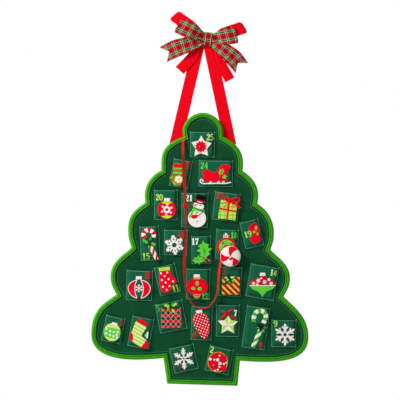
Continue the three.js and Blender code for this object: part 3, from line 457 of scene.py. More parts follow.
# Cut felts of the motifs and inks of the numerals: what the real one is, its colour, and how uneven it is
craftFelts = {
    "white": ("white", "#efe8e4", 0.07, 7), "red": ("scarlet", "#ea0424", 0.12, 8),
    "crimson": ("crimson", "#c0061e", 0.14, 8), "darkRed": ("oxblood", "#7d0a1c", 0.2, 6),
    "green": ("grass green", "#5ecd3c", 0.12, 8), "midGreen": ("emerald", "#2f9a3a", 0.16, 7),
    "leafGreen": ("leaf green", "#4cb848", 0.1, 7), "darkGreen": ("spruce green", "#123f28", 0.2, 8),
    "lime": ("lime", "#b4dc3c", 0.12, 7), "paleLime": ("pale lime", "#d2e27c", 0.1, 7),
    "black": ("black", "#17090f", 0.2, 7), "orange": ("orange", "#ee6a1c", 0.12, 5),
    "tan": ("tan", "#b0652c", 0.15, 5), "brown": ("brown", "#6d5a44", 0.2, 4), "gold": ("old gold", "#d9a23e", 0.15, 5),
}
inks = {
    "paleLime": ("pale lime", "#c4ec7e", 0.08), "lime": ("lime", "#aee05a", 0.08), "green": ("green", "#62d548", 0.08),
    "midGreen": ("leaf green", "#45a838", 0.08), "red": ("red", "#c80f26", 0.08),
    "darkRed": ("dark red", "#96101f", 0.08), "white": ("white", "#e9efe8", 0.06),
}
# Printed felts: what is printed, the colour of the nap, the print with its repeat in mm, and how uneven it is.
# The dots and the sock's stripes are a little coarser than the real print.
printedFelts = {
    "redCane": ("red and white stripes", "#ea0424", stripes("#e3041f", "#f2ebe8", 11.4, 0.1, 0.5), 0.06),
    "redShaft": ("slanting red and white stripes", "#ea0424", stripes("#e3041f", "#f2ebe8", 15.0, 1.3, 0.5), 0.06),
    "greenCane": ("green and white stripes", "#4cb820", stripes("#4db523", "#f0ebe6", 13.0, 0.1, 0.48), 0.06),
    "greenShaft": ("slanting green and white stripes", "#4cb820", stripes("#4db523", "#f0ebe6", 19.0, 1.4, 0.5), 0.06),
    "sockStripes": ("lime stripes", "#c9e070", stripes("#b6dc40", "#e9edcf", 13.6, 1.7, 0.64), 0.05),
    "giftStripes": ("red and lime stripes", "#c00010", stripes("#ba0a1a", "#bcdc44", 13.2, 1.0, 0.64), 0.06),
    "argyle": ("a red and green argyle", "#c00010", diamonds("#e1061a", "#12452c", "#d6ccc6", 10.8, 11.9, 0.032), 0.06),
    "redDots": ("small white dots on red", "#d80a1f", dotRows("#dc0a20", "#ffffff", 5.6, 1.15), 0.05),
    "limeChecks": ("green squares on lime", "#c9e45c", diamonds("#c9e45c", "#76cf45", "#a4dc52", 8.6, 8.6, 0.1), 0.06),
}
felts = {key: feltMaterial(name + " craft felt", colour, uneven=uneven, clump=clump)
         for key, (name, colour, uneven, clump) in craftFelts.items()}
felts["pocketShade"] = feltMaterial("pine green felt backing", "#175d3f", uneven=0.2, clump=7)
for key, (name, colour, pattern, uneven) in printedFelts.items():
    felts[key] = feltMaterial("felt printed with " + name, colour, pattern, uneven)
numeralInks = {key: feltMaterial(name + " numeral print", colour, uneven=uneven, clump=5)
               for key, (name, colour, uneven) in inks.items()}
print("materials made")


# Shapes

def smoothPath(points, step, closed=False):
    # Centripetal Catmull-Rom curve through the points
    pts = [Vector(p) for p in points]
    if closed:
        ring = [pts[-1], *pts, pts[0], pts[1]]
    else:
        ring = [pts[0] * 2 - pts[1], *pts, pts[-1] * 2 - pts[-2]]
    out = []
    for a, b, c, d in zip(ring, ring[1:], ring[2:], ring[3:]):
        k1 = max((b - a).length, 1e-6) ** 0.5
        k2 = max((c - b).length, 1e-6) ** 0.5
        k3 = max((d - c).length, 1e-6) ** 0.5
        m1 = (b - a) / k1 - (c - a) / (k1 + k2) + (c - b) / k2
        m2 = (c - b) / k2 - (d - b) / (k2 + k3) + (d - c) / k3
        count = max(1, round((c - b).length / step))
        for i in range(count):
            t = i / count
            out.append((2 * t ** 3 - 3 * t ** 2 + 1) * b + (t ** 3 - 2 * t ** 2 + t) * k2 * m1
                       + (3 * t ** 2 - 2 * t ** 3) * c + (t ** 3 - t ** 2) * k2 * m2)
    if not closed:
        out.append(pts[-1])
    return out


def divided(points, step, closed=True):
    pts = [Vector(p) for p in points]
    out = []
    for a, b in zip(pts, pts[1:] + pts[:1] if closed else pts[1:]):
        count = max(1, math.ceil((b - a).length / step))
        out.extend(a.lerp(b, i / count) for i in range(count))
    if not closed:
        out.append(pts[-1])
    return out


def gapTo(points, loops):
    # Distance of each point to the nearest edge of the loops
    points = np.asarray(points, float)
    best = np.full(len(points), 1e9)
    for loop in loops:
        a = np.array([(p[0], p[1]) for p in loop])
        b = np.roll(a, -1, axis=0)
        along = b - a
        size = np.maximum((along ** 2).sum(1), 1e-12)
        for start in range(0, len(points), 2000):
            p = points[start:start + 2000]
            share = np.clip(((p[:, None] - a) * along).sum(2) / size, 0, 1)
            near = a + share[..., None] * along
            gap = np.sqrt(((p[:, None] - near) ** 2).sum(2)).min(1)
            best[start:start + 2000] = np.minimum(best[start:start + 2000], gap)
    return best


def insideOf(points, loops):
    points = np.asarray(points, float)
    inside = np.zeros(len(points), bool)
    for loop in loops:
        a = np.array([(p[0], p[1]) for p in loop])
        b = np.roll(a, -1, axis=0)
        x, y = points[:, 0:1], points[:, 1:2]
        crosses = (a[:, 1] > y) != (b[:, 1] > y)
        rise = np.where(np.abs(b[:, 1] - a[:, 1]) < 1e-12, 1e-12, b[:, 1] - a[:, 1])
        inside ^= ((crosses & (x < a[:, 0] + (y - a[:, 1]) * (b[:, 0] - a[:, 0]) / rise)).sum(1) % 2).astype(bool)
    return inside


def triangulated(loops, step, edge):
    # Fills the loops with an even mesh that has a narrow strip along every edge
    points, edges, ring = [], [], []
    for loop in loops:
        first = len(points)
        count = len(loop)
        points.extend((p[0], p[1]) for p in loop)
        edges.extend((first + i, first + (i + 1) % count) for i in range(count))
        for i, p in enumerate(loop):
            along = (Vector(loop[(i + 1) % count]) - Vector(loop[i - 1])).to_2d()
            if along.length > 1e-9:
                normal = Vector((-along.y, along.x)).normalized() * edge
                ring.extend([(p[0] + normal.x, p[1] + normal.y), (p[0] - normal.x, p[1] - normal.y)])
    low, high = np.array(points).min(0), np.array(points).max(0)
    grid = [(x + (row % 2) * step / 2, y)
            for row, y in enumerate(np.arange(low[1], high[1], step * 0.87))
            for x in np.arange(low[0], high[0], step)]
    for extra, gap in ((ring, edge * 0.9), (grid, edge + step * 0.35)):
        if extra:
            keep = insideOf(extra, loops) & (gapTo(extra, loops) > gap)
            points.extend(p for p, ok in zip(extra, keep) if ok)
    made = geometry.delaunay_2d_cdt([Vector(p) for p in points], edges, [], 0, 1e-5)
    spots = np.array([(v.x, v.y) for v in made[0]])
    faces = [list(f) for f in made[2]]
    inside = insideOf(np.array([spots[f].mean(0) for f in faces]), loops)
    return spots, [face for face, ok in zip(faces, inside) if ok]


def sheetPart(loops, heights, material, place, step, edge):
    # Closed sheet over the loops; heights gives each point's back and front from its edge distance
    points, faces = triangulated(loops, step, edge)
    gaps = gapTo(points, loops)
    levels = [heights(x, y, gap) for (x, y), gap in zip(points, gaps)]
    count = len(points)
    verts = [place(x, y, level[side]) for side in (1, 0) for (x, y), level in zip(points, levels)]
    used = dict.fromkeys((a, b) for face in faces for a, b in zip(face, face[1:] + face[:1]))
    rim = [(a, b) for a, b in used if (b, a) not in used]
    faces = faces + [[i + count for i in reversed(face)] for face in faces]
    faces += [[b, a, a + count, b + count] for a, b in rim]
    return verts, faces, material, [tuple(p) for p in points] * 2


def sharesAcross(columns):
    return [k / columns - 0.5 for k in range(columns + 1)]


def stripFaces(count, columns):
    # Rows of front and back points in turn, joined along the strip and closed at both ends
    row = 2 * (columns + 1)
    ring = [2 * k for k in range(columns + 1)] + [2 * k + 1 for k in range(columns, -1, -1)]
    faces = [[i * row + a, i * row + b, (i + 1) * row + b, (i + 1) * row + a]
             for i in range(count - 1) for a, b in zip(ring, ring[1:] + ring[:1])]
    return faces + [ring[::-1], [(count - 1) * row + k for k in ring]]


def stripPart(path, wide, back, thick, material, place, step, crown, columns=6):
    # Strip along a line in the plane, with a rounded front; wide gives its width at a share of its length
    line = smoothPath([(x, y, 0) for x, y in path], step)
    verts, uvs = [], []
    travelled = 0
    for i, point in enumerate(line):
        before, after = line[max(0, i - 1)], line[min(len(line) - 1, i + 1)]
        along = (after - before).normalized()
        side = Vector((-along.y, along.x, 0))
        travelled += (point - before).length if i else 0
        width = wide(i / (len(line) - 1))
        for share in sharesAcross(columns):
            offset = share * width
            rounded = 1 - (2 * share) ** 4
            spot = point + side * offset
            verts.append(place(spot.x, spot.y, back + thick * (0.45 + 0.55 * rounded) + crown * rounded))
            verts.append(place(spot.x, spot.y, back))
            uvs.extend([(travelled, offset)] * 2)
    return verts, stripFaces(len(line), columns), material, uvs


def domePart(x, y, radius, back, rise, material, place, squash=1.0, rings=5, around=14):
    # Rounded button: a bead, berry or puffy dot
    verts, faces, uvs = [place(x, y, back + rise)], [], [(x, y)]
    for r in range(1, rings + 1):
        angle = r / rings * math.pi / 2
        for k in range(around):
            turn = 2 * math.pi * k / around
            reach = radius * math.sin(angle)
            px, py = x + reach * math.cos(turn), y + reach * math.sin(turn) * squash
            verts.append(place(px, py, back + rise * math.cos(angle)))
            uvs.append((px, py))
    for k in range(around):
        faces.append([0, 1 + k, 1 + (k + 1) % around])
        for r in range(rings - 1):
            a, b = 1 + r * around, 1 + (r + 1) * around
            faces.append([a + k, b + k, b + (k + 1) % around, a + (k + 1) % around])
    faces.append([1 + (rings - 1) * around + k for k in range(around)][::-1])
    return verts, faces, material, uvs


def shellFaces(rows, columns, closed=False):
    # Two layers of a grid of points joined at their rims; the last row of a closed one meets its first
    layer = rows * columns
    faces = []
    for i in range(rows if closed else rows - 1):
        pairs = [(i * columns + k, (i + 1) % rows * columns + k) for k in range(columns)]
        for a, b in pairs[:-1]:
            faces += [[a, a + 1, b + 1, b], [layer + a, layer + b, layer + b + 1, layer + a + 1]]
        faces += [[a, b, layer + b, layer + a] for a, b in (pairs[0], pairs[-1])]
    for first in () if closed else (0, layer - columns):
        faces += [[a, layer + a, layer + a + 1, a + 1] for a in range(first, first + columns - 1)]
    return faces


def ribbonPart(cells, thick, material):
    # Thin cloth from rows across it of (point, place on the cloth); its two faces are half a thickness away
    grid = np.array([[list(point) for point, _ in row] for row in cells])
    normal = np.cross(np.gradient(grid, axis=0), np.gradient(grid, axis=1))
    normal /= np.maximum(np.linalg.norm(normal, axis=2, keepdims=True), 1e-12)
    verts = [tuple(p) for side in (0.5, -0.5) for p in (grid + normal * thick * mm * side).reshape(-1, 3)]
    return verts, shellFaces(*grid.shape[:2]), material, [uv for row in cells for _, uv in row] * 2


def makePiece(name, parts, body="calendar", sharp=40):
    # Each part is its points, its faces, its material and each point's place on the cloth in mm
    mesh = bpy.data.meshes.new(name)
    points, faces, uvs, marks, used = [], [], [], [], []
    for spots, cells, material, cloth in parts:
        faces.extend([i + len(points) for i in face] for face in cells)
        points.extend(spots)
        uvs.extend(cloth)
        if material not in used:
            used.append(material)
        marks.extend([used.index(material)] * len(cells))
    mesh.from_pydata([tuple(p) for p in points], [], faces)
    for material in used:
        mesh.materials.append(material)
    mesh.polygons.foreach_set("material_index", marks)
    corner = np.zeros(len(mesh.loops), int)
    mesh.loops.foreach_get("vertex_index", corner)
    layer = mesh.uv_layers.new(name="cloth")
    layer.data.foreach_set("uv", np.array(uvs, float)[corner].ravel())
    shell = bmesh.new()
    shell.from_mesh(mesh)
    bmesh.ops.remove_doubles(shell, verts=shell.verts, dist=2e-6)
    bmesh.ops.delete(shell, geom=[v for v in shell.verts if not v.link_faces], context="VERTS")
    bmesh.ops.recalc_face_normals(shell, faces=shell.faces)
    shell.to_mesh(mesh)
    shell.free()
    mesh.shade_smooth()
    mesh.set_sharp_from_angle(angle=math.radians(sharp))
    piece = addObject(name, mesh)
    if body:
        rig.ride(piece, body)
    return piece


def lengthsAlong(points):
    return np.concatenate([[0], np.cumsum([(b - a).length for a, b in zip(points, points[1:])])])


def flatArea(loop):
    return abs(sum(a[0] * b[1] - b[0] * a[1] for a, b in zip(loop, loop[1:] + loop[:1]))) / 2 * mm * mm


def turned(points, tilt, x=0.0, y=0.0):
    # Turned clockwise as seen from the front, then moved
    cos, sin = math.cos(math.radians(tilt)), math.sin(math.radians(tilt))
    return [(x + a * cos + b * sin, y - a * sin + b * cos) for a, b in points]


# Outline of the tree, with the same sizes as its panels and binding
outline = {
    "crownTop": (-3, 135.6),
    "crownSide": {"left": (-45.5, 174.7), "right": (40.2, 174.7)},
    "notches": {"left": [(-44, 186), (-90.3, 257.5), (-124.5, 326), (-154, 421), (-186, 521)],
                "right": [(41, 186), (82, 259), (113, 328.5), (141, 426.3), (169, 525.5)]},
    "tips": {"left": [(-90.5, 241.7), (-125.5, 310.7), (-161, 383), (-198, 482.6), (-239, 606)],
             "right": [(83, 243.4), (115.2, 312), (148.4, 391.7), (182.5, 485.5), (221.5, 611)]},
    "hem": {"left": (-146, 659.4), "right": (131, 664)},
    "trunkTop": {"left": (-86, 656), "right": (76.4, 661.6)},
    "trunkFoot": {"left": (-78, 710.3), "right": (71.1, 714.9)},
    # How far out and down each tier's curve leaves its notch, and how early it turns down to the tip
    "full": {"left": [(0.6, 0.22, 0.62), (0.515, 0.168, 0.499), (0.565, 0.25, 0.559), (0.267, 0.221, 0.554),
                      (0.475, 0.211, 0.638)],
             "right": [(0.52, 0.22, 0.56), (0.416, 0.178, 0.542), (0.505, 0.167, 0.525), (0.327, 0.245, 0.485),
                       (0.464, 0.277, 0.493)]},
    "hemFull": {"left": (0.766, 0.491), "right": (0.71, 0.666)},
    "leaveTip": 0.5, "arriveIn": 0.5, "arriveRise": 0.35, "crownWide": 0.48, "crownDrop": 0.55, "step": 3.0,
}


def bezier(a, b, c, d):
    length = (b - a).length + (c - b).length + (d - c).length
    count = max(3, round(length / outline["step"]))
    return [a * (1 - t) ** 3 + b * 3 * t * (1 - t) ** 2 + c * 3 * t * t * (1 - t) + d * t ** 3
            for t in (i / count for i in range(count + 1))]


def between(a, b, across, up):
    return Vector((mix(a.x, b.x, across), mix(a.y, b.y, up)))


def sideCurves(side):
    # Curves from the top of the crown to the foot of the trunk; each ends where the next begins
    spot = lambda p: Vector((p[0], -p[1]))
    top, shoulder = spot(outline["crownTop"]), spot(outline["crownSide"][side])
    notches = [spot(p) for p in outline["notches"][side]]
    tips = [spot(p) for p in outline["tips"][side]]
    hem, corner, foot = spot(outline["hem"][side]), spot(outline["trunkTop"][side]), spot(outline["trunkFoot"][side])
    first = notches[0]
    crown = bezier(top, between(top, shoulder, outline["crownWide"], 0),
                   between(shoulder, top, 0, outline["crownDrop"]), shoulder)
    waist = between(shoulder, first, 0, 0.5)
    crown += bezier(shoulder, shoulder.lerp(waist, 2 / 3), first.lerp(waist, 2 / 3), first)[1:]
    curves = [crown]
    for i, (notch, tip) in enumerate(zip(notches, tips)):
        out, drop, turn = outline["full"][side][i]
        lobe = bezier(notch, between(notch, tip, out, drop), between(tip, notch, 0, turn), tip)
        if i + 1 < len(notches):
            after = notches[i + 1]
            lobe += bezier(tip, between(tip, after, 0, outline["leaveTip"]),
                           between(after, tip, outline["arriveIn"], outline["arriveRise"]), after)[1:]
        else:
            drop, out = outline["hemFull"][side]
            lobe += bezier(tip, between(tip, hem, 0, drop), between(hem, tip, out, 0), hem)[1:]
            middle = between(hem, corner, 0.5, 0)
            lobe += bezier(hem, hem.lerp(middle, 2 / 3), corner.lerp(middle, 2 / 3), corner)[1:]
        curves.append(lobe)
    curves.append(divided([corner, foot], 6, closed=False)[:-3] + [foot])
    return curves


def treeStations(mitre=1.3):
    # Points round the tree with the direction inwards, widened at corners so that an edge keeps its width
    left = sideCurves("left")
    right = [list(reversed(curve)) for curve in reversed(sideCurves("right"))]
    low, high = left[-1][-1], right[0][0]
    bottom = divided([low, high], 6, closed=False)
    bottom = [low, *bottom[3:-3], high]
    stations = []
    curves = [*left, bottom, *right]
    for n, curve in enumerate(curves):
        after = curves[(n + 1) % len(curves)]
        for i, point in enumerate(curve):
            a, b = curve[max(0, i - 1)], curve[min(len(curve) - 1, i + 1)]
            along = (b - a).normalized()
            stations.append((point, Vector((-along.y, along.x))))
        into = (curve[-1] - curve[-2]).normalized()
        out = (after[1] - after[0]).normalized()
        bend = into.cross(out)
        if abs(bend) < 0.12:
            continue
        first, second = Vector((-into.y, into.x)), Vector((-out.y, out.x))
        corner = (first + second).normalized()
        reach = 1 / max(0.3, corner.dot(first))
        if bend > 0:
            stations.pop()
            stations.append((curve[-1], corner * reach, "convex"))
        else:
            stations.append((curve[-1], corner * min(reach, mitre)))
    kept = []
    for station in stations:
        if kept and len(kept[-1]) == 3 and (kept[-1][0] - station[0]).length < 0.01:
            continue
        if kept and (kept[-1][0] - station[0]).length < 0.01 and (kept[-1][1] - station[1]).length < 0.05:
            continue
        kept.append(station)
    return [(s[0], s[1]) for s in kept]


stations = treeStations()


def insetLoop(distance, gap=0.6):
    loop = []
    for point, inward in stations:
        spot = point + inward * distance
        if not loop or (loop[-1] - spot).length > gap:
            loop.append(spot)
    while (loop[0] - loop[-1]).length < gap:
        loop.pop()
    return loop


print("outline has", len(stations), "stations")

# Marker ribbon: 5 mm satin from the notch beside the crown to the back of the candy
marker = {
    "wide": 5.0, "thick": 0.5, "cup": 0.25, "lift": 0.9,
    "route": [
        (-44.5, 186, 9.9), (-44.5, 196, 11.4), (-44.6, 210, 14.4), (-44.7, 225, 16.4), (-42.8, 242.4, 16.4),
        (-41.7, 267.8, 16.4), (-40.4, 300, 16.4), (-39.2, 331.3, 16.4), (-38.1, 360, 16.4),
        (-37.7, 388.5, 16.4), (-38.1, 405.4, 16.4), (-39.2, 426.6, 16.4), (-41.1, 443.5, 16.4),
        (-41.9, 460.4, 16.4), (-40.6, 485.2, 16.4), (-38.3, 505.3, 16.4), (-34.7, 521.6, 16.4),
        (-27.3, 536.2, 16.4), (-18, 545.5, 16.4), (-4.7, 550, 16.4), (8.3, 546.8, 16.4), (17.3, 538.4, 16.4),
        (24.2, 527.3, 16.4), (27.7, 514.2, 16.4), (30.1, 491.6, 16.4), (32.2, 468.9, 16.4),
        (35.1, 452, 16.4), (38.1, 437, 16.4)],
    # How far the ribbon is turned on its own line, in degrees, at a share of its length
    "turns": [(0, 0), (0.06, 10), (0.1, 52), (0.14, 30), (0.22, 24), (0.3, 34), (0.36, 54), (0.42, 40), (0.5, 24),
              (0.56, 38), (0.63, 64), (0.7, 74), (0.82, 74), (0.88, 58), (0.94, 28), (1, 0)],
}


def markerTurn(share):
    for (a, low), (b, high) in zip(marker["turns"], marker["turns"][1:]):
        if share <= b:
            return math.radians(mix(low, high, smooth(a, b, share)))
    return 0.0


def makeMarkerRibbon():
    path = smoothPath([at(*p) for p in marker["route"]], 3 * mm)
    lengths = lengthsAlong(path)
    backwards = Vector((0, 1, 0))
    cells = []
    for i, point in enumerate(path):
        along = (path[min(len(path) - 1, i + 1)] - path[max(0, i - 1)]).normalized()
        side = along.cross(backwards).normalized()
        forward = side.cross(along).normalized()
        turn = markerTurn(lengths[i] / lengths[-1])
        across = side * math.cos(turn) + forward * math.sin(turn)
        cup = forward * math.cos(turn) - side * math.sin(turn)
        row = []
        for share in sharesAcross(6):
            bowed = cup * marker["cup"] * (1 - (2 * share) ** 2) - backwards * marker["lift"] * math.sin(turn)
            row.append((point + (across * share * marker["wide"] + bowed) * mm,
                        (lengths[i] / mm, share * marker["wide"])))
        cells.append(row)
    ribbon = makePiece("marker_ribbon_satin", [ribbonPart(cells, marker["thick"], redSatin)], body=None)
    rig.replaces(ribbon, "marker_ribbon")
    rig.slot(ribbon, "satin_ribbon")
    # The candy draws the end of the ribbon along: it bends over the right half of the hanging loop
    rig.blend(ribbon, "calendar", "marker", start=at(0, 540, 16.4), end=at(36, 540, 16.4))
    return ribbon, path, float(lengths[-1])


markerRibbon, markerPath, markerLength = makeMarkerRibbon()
print("marker ribbon", round(markerLength / mm), "mm long")

# Candy: a stuffed disc with a red swirl, on a tab that reaches into pocket 13
candy = {
    "across": 55.7, "down": 439.5, "radius": 21.8, "back": 17.1, "thick": 10.6, "crown": 3.2, "pucker": 0.008,
    "puckers": 18, "knot": {"at": (0.3, -5.4), "radius": 3.2, "rise": 3.0},
    # Outlines of the three red wedges, across and up from the middle in the photo's pixels
    "wedges": [
        [(-1, 9.7), (-1.8, 6.2), (-1.7, 3.2), (-0.3, 0), (0.7, 1.1), (2, 3.6), (4.3, 5.5), (6.6, 6.4), (7.2, 7.2),
         (4.4, 9.1), (1.4, 9.9)],
        [(-9.6, 3.1), (-7.2, 1.6), (-5.4, 0.4), (-2.6, -0.1), (-0.3, -0.6), (-2, -2.3), (-3.2, -3.6), (-4.8, -4.6),
         (-8.7, -5.2), (-9.9, -2), (-10, 0.6)],
        [(0.3, -0.5), (3.1, -1.1), (5.5, -2.4), (7.6, -3.8), (9.1, -4.6), (8.2, -6.4), (6.1, -8.4), (3.9, -9.6),
         (2, -9.5), (2, -6), (2.3, -3.9)]],
    "tab": {"across": 53.4, "root": (440, 17.2), "mouth": (461.95, 12.2), "tip": (478, 8.56), "wide": 7,
            "tipWide": 4.9, "thick": 1.0},
}


def candyFront(radius):
    share = min(1, radius / candy["radius"])
    return candy["back"] + candy["thick"] * (0.5 + 0.5 * (1 - share ** candy["crown"]) ** 0.5)


def makeCandy():
    place = lambda x, y, forward: at(candy["across"] + x, candy["down"] - y, forward)
    radius, half = candy["radius"], candy["thick"] / 2
    rings, around = 12, 72
    verts, faces, uvs = [], [], []
    for side in (1, -1):
        for r in range(rings + 1):
            share = math.sin(math.pi / 2 * r / rings)
            for k in range(around):
                turn = 2 * math.pi * k / around
                # The seam puckers the rim a little
                reach = radius * share * (1 - candy["pucker"] * share * math.cos(turn * candy["puckers"]))
                bulge = half * (1 - share ** candy["crown"]) ** 0.5
                if side < 0:
                    bulge = min(bulge, half * 0.98)
                x, y = reach * math.cos(turn), reach * math.sin(turn)
                verts.append(place(x, y, candy["back"] + half + side * bulge))
                uvs.append((x, y))
    for side in range(2):
        first = side * (rings + 1) * around
        for r in range(rings):
            for k in range(around):
                a, b = first + r * around + k, first + (r + 1) * around + k
                n = (k + 1) % around
                faces.append([a, b, b - k + n, a - k + n])
    parts = [(verts, faces, felts["white"], uvs)]
    scale, inside = view["mmPerPixel"], radius - 0.5
    for wedge in candy["wedges"]:
        loop = [tuple(p[:2]) for p in smoothPath([(x * scale, y * scale, 0) for x, y in wedge], 1.6, closed=True)]
        loop = [(x * min(1, inside / math.hypot(x, y)), y * min(1, inside / math.hypot(x, y))) for x, y in loop]
        heights = lambda x, y, gap: (candyFront(math.hypot(x, y)) - 0.5,
                                     candyFront(math.hypot(x, y)) + 0.5 * min(1, gap / 0.5) ** 0.5 - 0.05)
        parts.append(sheetPart([loop], heights, felts["red"], place, step=1.8, edge=0.45))
    knot = candy["knot"]
    parts.append(domePart(*knot["at"], knot["radius"], candyFront(5) - 0.8, knot["rise"], berryBead, place,
                          squash=0.95))
    piece = makePiece("candy_cushion", parts, "marker")
    tab = candy["tab"]
    stops = [(tab["root"], tab["wide"]), (tab["mouth"], mix(tab["wide"], tab["tipWide"], 0.6)),
             (tab["tip"], tab["tipWide"])]
    cells = [[(at(tab["across"] + wide * share, down, forward), (down, wide * share)) for share in sharesAcross(4)]
             for (down, forward), wide in stops]
    strap = makePiece("candy_tab", [ribbonPart(cells, tab["thick"], felts["white"])], "marker")
    return piece, strap


candyPiece, candyTab = makeCandy()
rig.replaces(candyPiece, "marker_candy")
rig.slot(candyPiece, "candy_felt")
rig.slot(candyTab, "candy_felt")
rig.padded(candyPiece, fill=0.7)
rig.cord(markerRibbon, exit=markerPath[0], length=markerLength, diameter=marker["wide"] * mm, far_end="fitting",
        stiffness="limp", lay="hanging", path=markerPath, with_pieces=[candyPiece, candyTab])
print("candy made")


# Stitches: a Geometry Nodes tree lays one short thread per pitch along each line

def stitchTree():
    tree = bpy.data.node_groups.new("stitches", "GeometryNodeTree")
    tree.interface.new_socket("Geometry", in_out="OUTPUT", socket_type="NodeSocketGeometry")
    for name, kind in (("Geometry", "Geometry"), ("Pitch", "Float"), ("Stitch Length", "Float"),
                       ("Thread Radius", "Float"), ("Seed", "Int"), ("Thread", "Material")):
        tree.interface.new_socket(name, in_out="INPUT", socket_type="NodeSocket" + kind)
    given = addNode(tree, "NodeGroupInput").outputs
    curve = addNode(tree, "GeometryNodeMeshToCurve", {"Mesh": given["Geometry"]})
    spaced = addNode(tree, "GeometryNodeResampleCurve", {"Curve": curve, "Length": given["Pitch"]}, mode="LENGTH")
    ball = addNode(tree, "GeometryNodeMeshUVSphere", {"Segments": 6, "Rings": 4, "Radius": given["Thread Radius"]})
    stretch = addNode(tree, "ShaderNodeMath", {0: given["Stitch Length"], 1: given["Thread Radius"]},
                      operation="DIVIDE")
    halved = addNode(tree, "ShaderNodeMath", {0: stretch, 1: 0.5}, operation="MULTIPLY")
    size = addNode(tree, "ShaderNodeCombineXYZ", {"X": 1.0, "Y": 1.0, "Z": halved})
    tangent = addNode(tree, "GeometryNodeInputTangent")
    wobble = addNode(tree, "FunctionNodeRandomValue", {
        "Min": (-0.07, -0.02, -0.07), "Max": (0.07, 0.02, 0.07), "Seed": given["Seed"]}, data_type="FLOAT_VECTOR")
    leant = addNode(tree, "ShaderNodeVectorMath", {0: tangent, 1: wobble}, operation="ADD")
    aligned = addNode(tree, "FunctionNodeAlignRotationToVector", {"Vector": leant}, axis="Z")
    placed = addNode(tree, "GeometryNodeInstanceOnPoints", {
        "Points": spaced, "Instance": ball, "Rotation": aligned, "Scale": size})
    real = addNode(tree, "GeometryNodeRealizeInstances", {0: placed})
    coloured = addNode(tree, "GeometryNodeSetMaterial", {"Geometry": real, "Material": given["Thread"]})
    addNode(tree, "NodeGroupOutput", {0: coloured})
    return tree


stitches = stitchTree()
seam = {"pitch": 3.4, "length": 3.3, "radius": 0.46, "seed": 11}


def sewLines(name, lines, thread, sizes=seam):
    mesh = bpy.data.meshes.new(name)
    points, edges = [], []
    for line in lines:
        first = len(points)
        points.extend(tuple(p) for p in line)
        edges.extend((first + i, first + i + 1) for i in range(len(line) - 1))
    mesh.from_pydata(points, edges, [])
    guide = addObject(name + "_guide", mesh)
    modifier = guide.modifiers.new("stitches", "NODES")
    modifier.node_group = stitches
    values = {"Pitch": sizes["pitch"] * mm, "Stitch Length": sizes["length"] * mm,
              "Thread Radius": sizes["radius"] * mm, "Seed": sizes["seed"], "Thread": thread}
    for item in stitches.interface.items_tree:
        if item.in_out == "INPUT" and item.name in values:
            modifier[item.identifier] = values[item.name]
    evaluated = guide.evaluated_get(bpy.context.evaluated_depsgraph_get())
    made = bpy.data.meshes.new_from_object(evaluated)
    bpy.data.objects.remove(guide)
    made.name = name
    made.shade_smooth()
    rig.ride(addObject(name, made), "calendar")


# Panels: front and back felt with wadding between, all held in the binding
panels = {
    "inset": 3.5, "step": 6.5, "edge": 2.0,
    "back": (1.9, 3.3), "wadding": (3.6, 5.8), "front": (6.1, 7.5),
    "rippleSize": 34.0, "ripple": 0.55, "seamInset": 14.0, "seamRise": 0.05,
}


def ripple(x, y, size, seed):
    return noise.noise(Vector((x / size, y / size, seed)))


def panelPlace(x, y, forward):
    return at(x, -y, forward)


def makePanels():
    loop = insetLoop(panels["inset"])
    area = flatArea(loop)
    xs, ys = [p.x for p in loop], [p.y for p in loop]
    size = ((max(xs) - min(xs)) * mm, (max(ys) - min(ys)) * mm)
    for name, node, layer, material, slot, sign in (
            ("front_panel_felt", "front_panel", panels["front"], panelFelt, "panel_felt", 1),
            ("back_panel_felt", "back_panel", panels["back"], backFelt, "panel_felt", -1),
            ("wadding_sheet", "wadding", panels["wadding"], waddingFibre, "wadding", 0)):
        def heights(x, y, gap, layer=layer, sign=sign):
            sunk = panels["ripple"] * smooth(8, 26, gap) * (0.5 + ripple(x, y, panels["rippleSize"], sign))
            back, front = layer
            if sign > 0:
                return back - min(sunk, 0.2), front - sunk
            if sign < 0:
                return back + sunk * 0.8, front + min(sunk * 0.8, 0.2)
            return back, front
        part = sheetPart([loop], heights, material, panelPlace, step=panels["step"], edge=panels["edge"])
        piece = makePiece(name, [part], sharp=60)
        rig.replaces(piece, node)
        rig.slot(piece, slot)
        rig.sheet(piece, flat=size, held="stretched", rests_on=["edge_binding_tape"], area=area)
    line = [panelPlace(p.x, p.y, panels["front"][1] + panels["seamRise"]) for p in insetLoop(panels["seamInset"])]
    sewLines("panel_seam", [line + line[:1]], edgeThread, sizes={**seam, "radius": 0.38})


# Binding: bias tape folded round the edge, rounded where it goes over the layers
binding = {
    "wide": 10.0, "middle": 6.5, "fold": 3.2, "back": 0.6, "front": 8.8, "wall": 1.0, "pucker": 0.22,
    "puckerPitch": 7.5,
    # The tape's outside, inwards from the edge and forward; a row of stitching 3 mm from the lip creases it
    "outside": [
        (10, 7.95), (9.97, 8.9), (9.7, 10.1), (9.2, 11.0), (8.5, 11.5), (7.9, 11.2), (7.4, 10.2), (7, 9.5), (6.6, 9.9),
        (6.1, 10.9), (5.3, 11.6), (4.2, 11.6), (2.7, 10.5), (1.4, 9.0), (0.5, 7.2), (0.05, 5.3), (0.1, 3.6),
        (0.7, 2.0), (1.7, 1.1), (3.2, 0.65), (5, 0.5), (7.5, 0.5), (9.4, 0.6), (9.95, 0.95), (10, 1.5)],
}


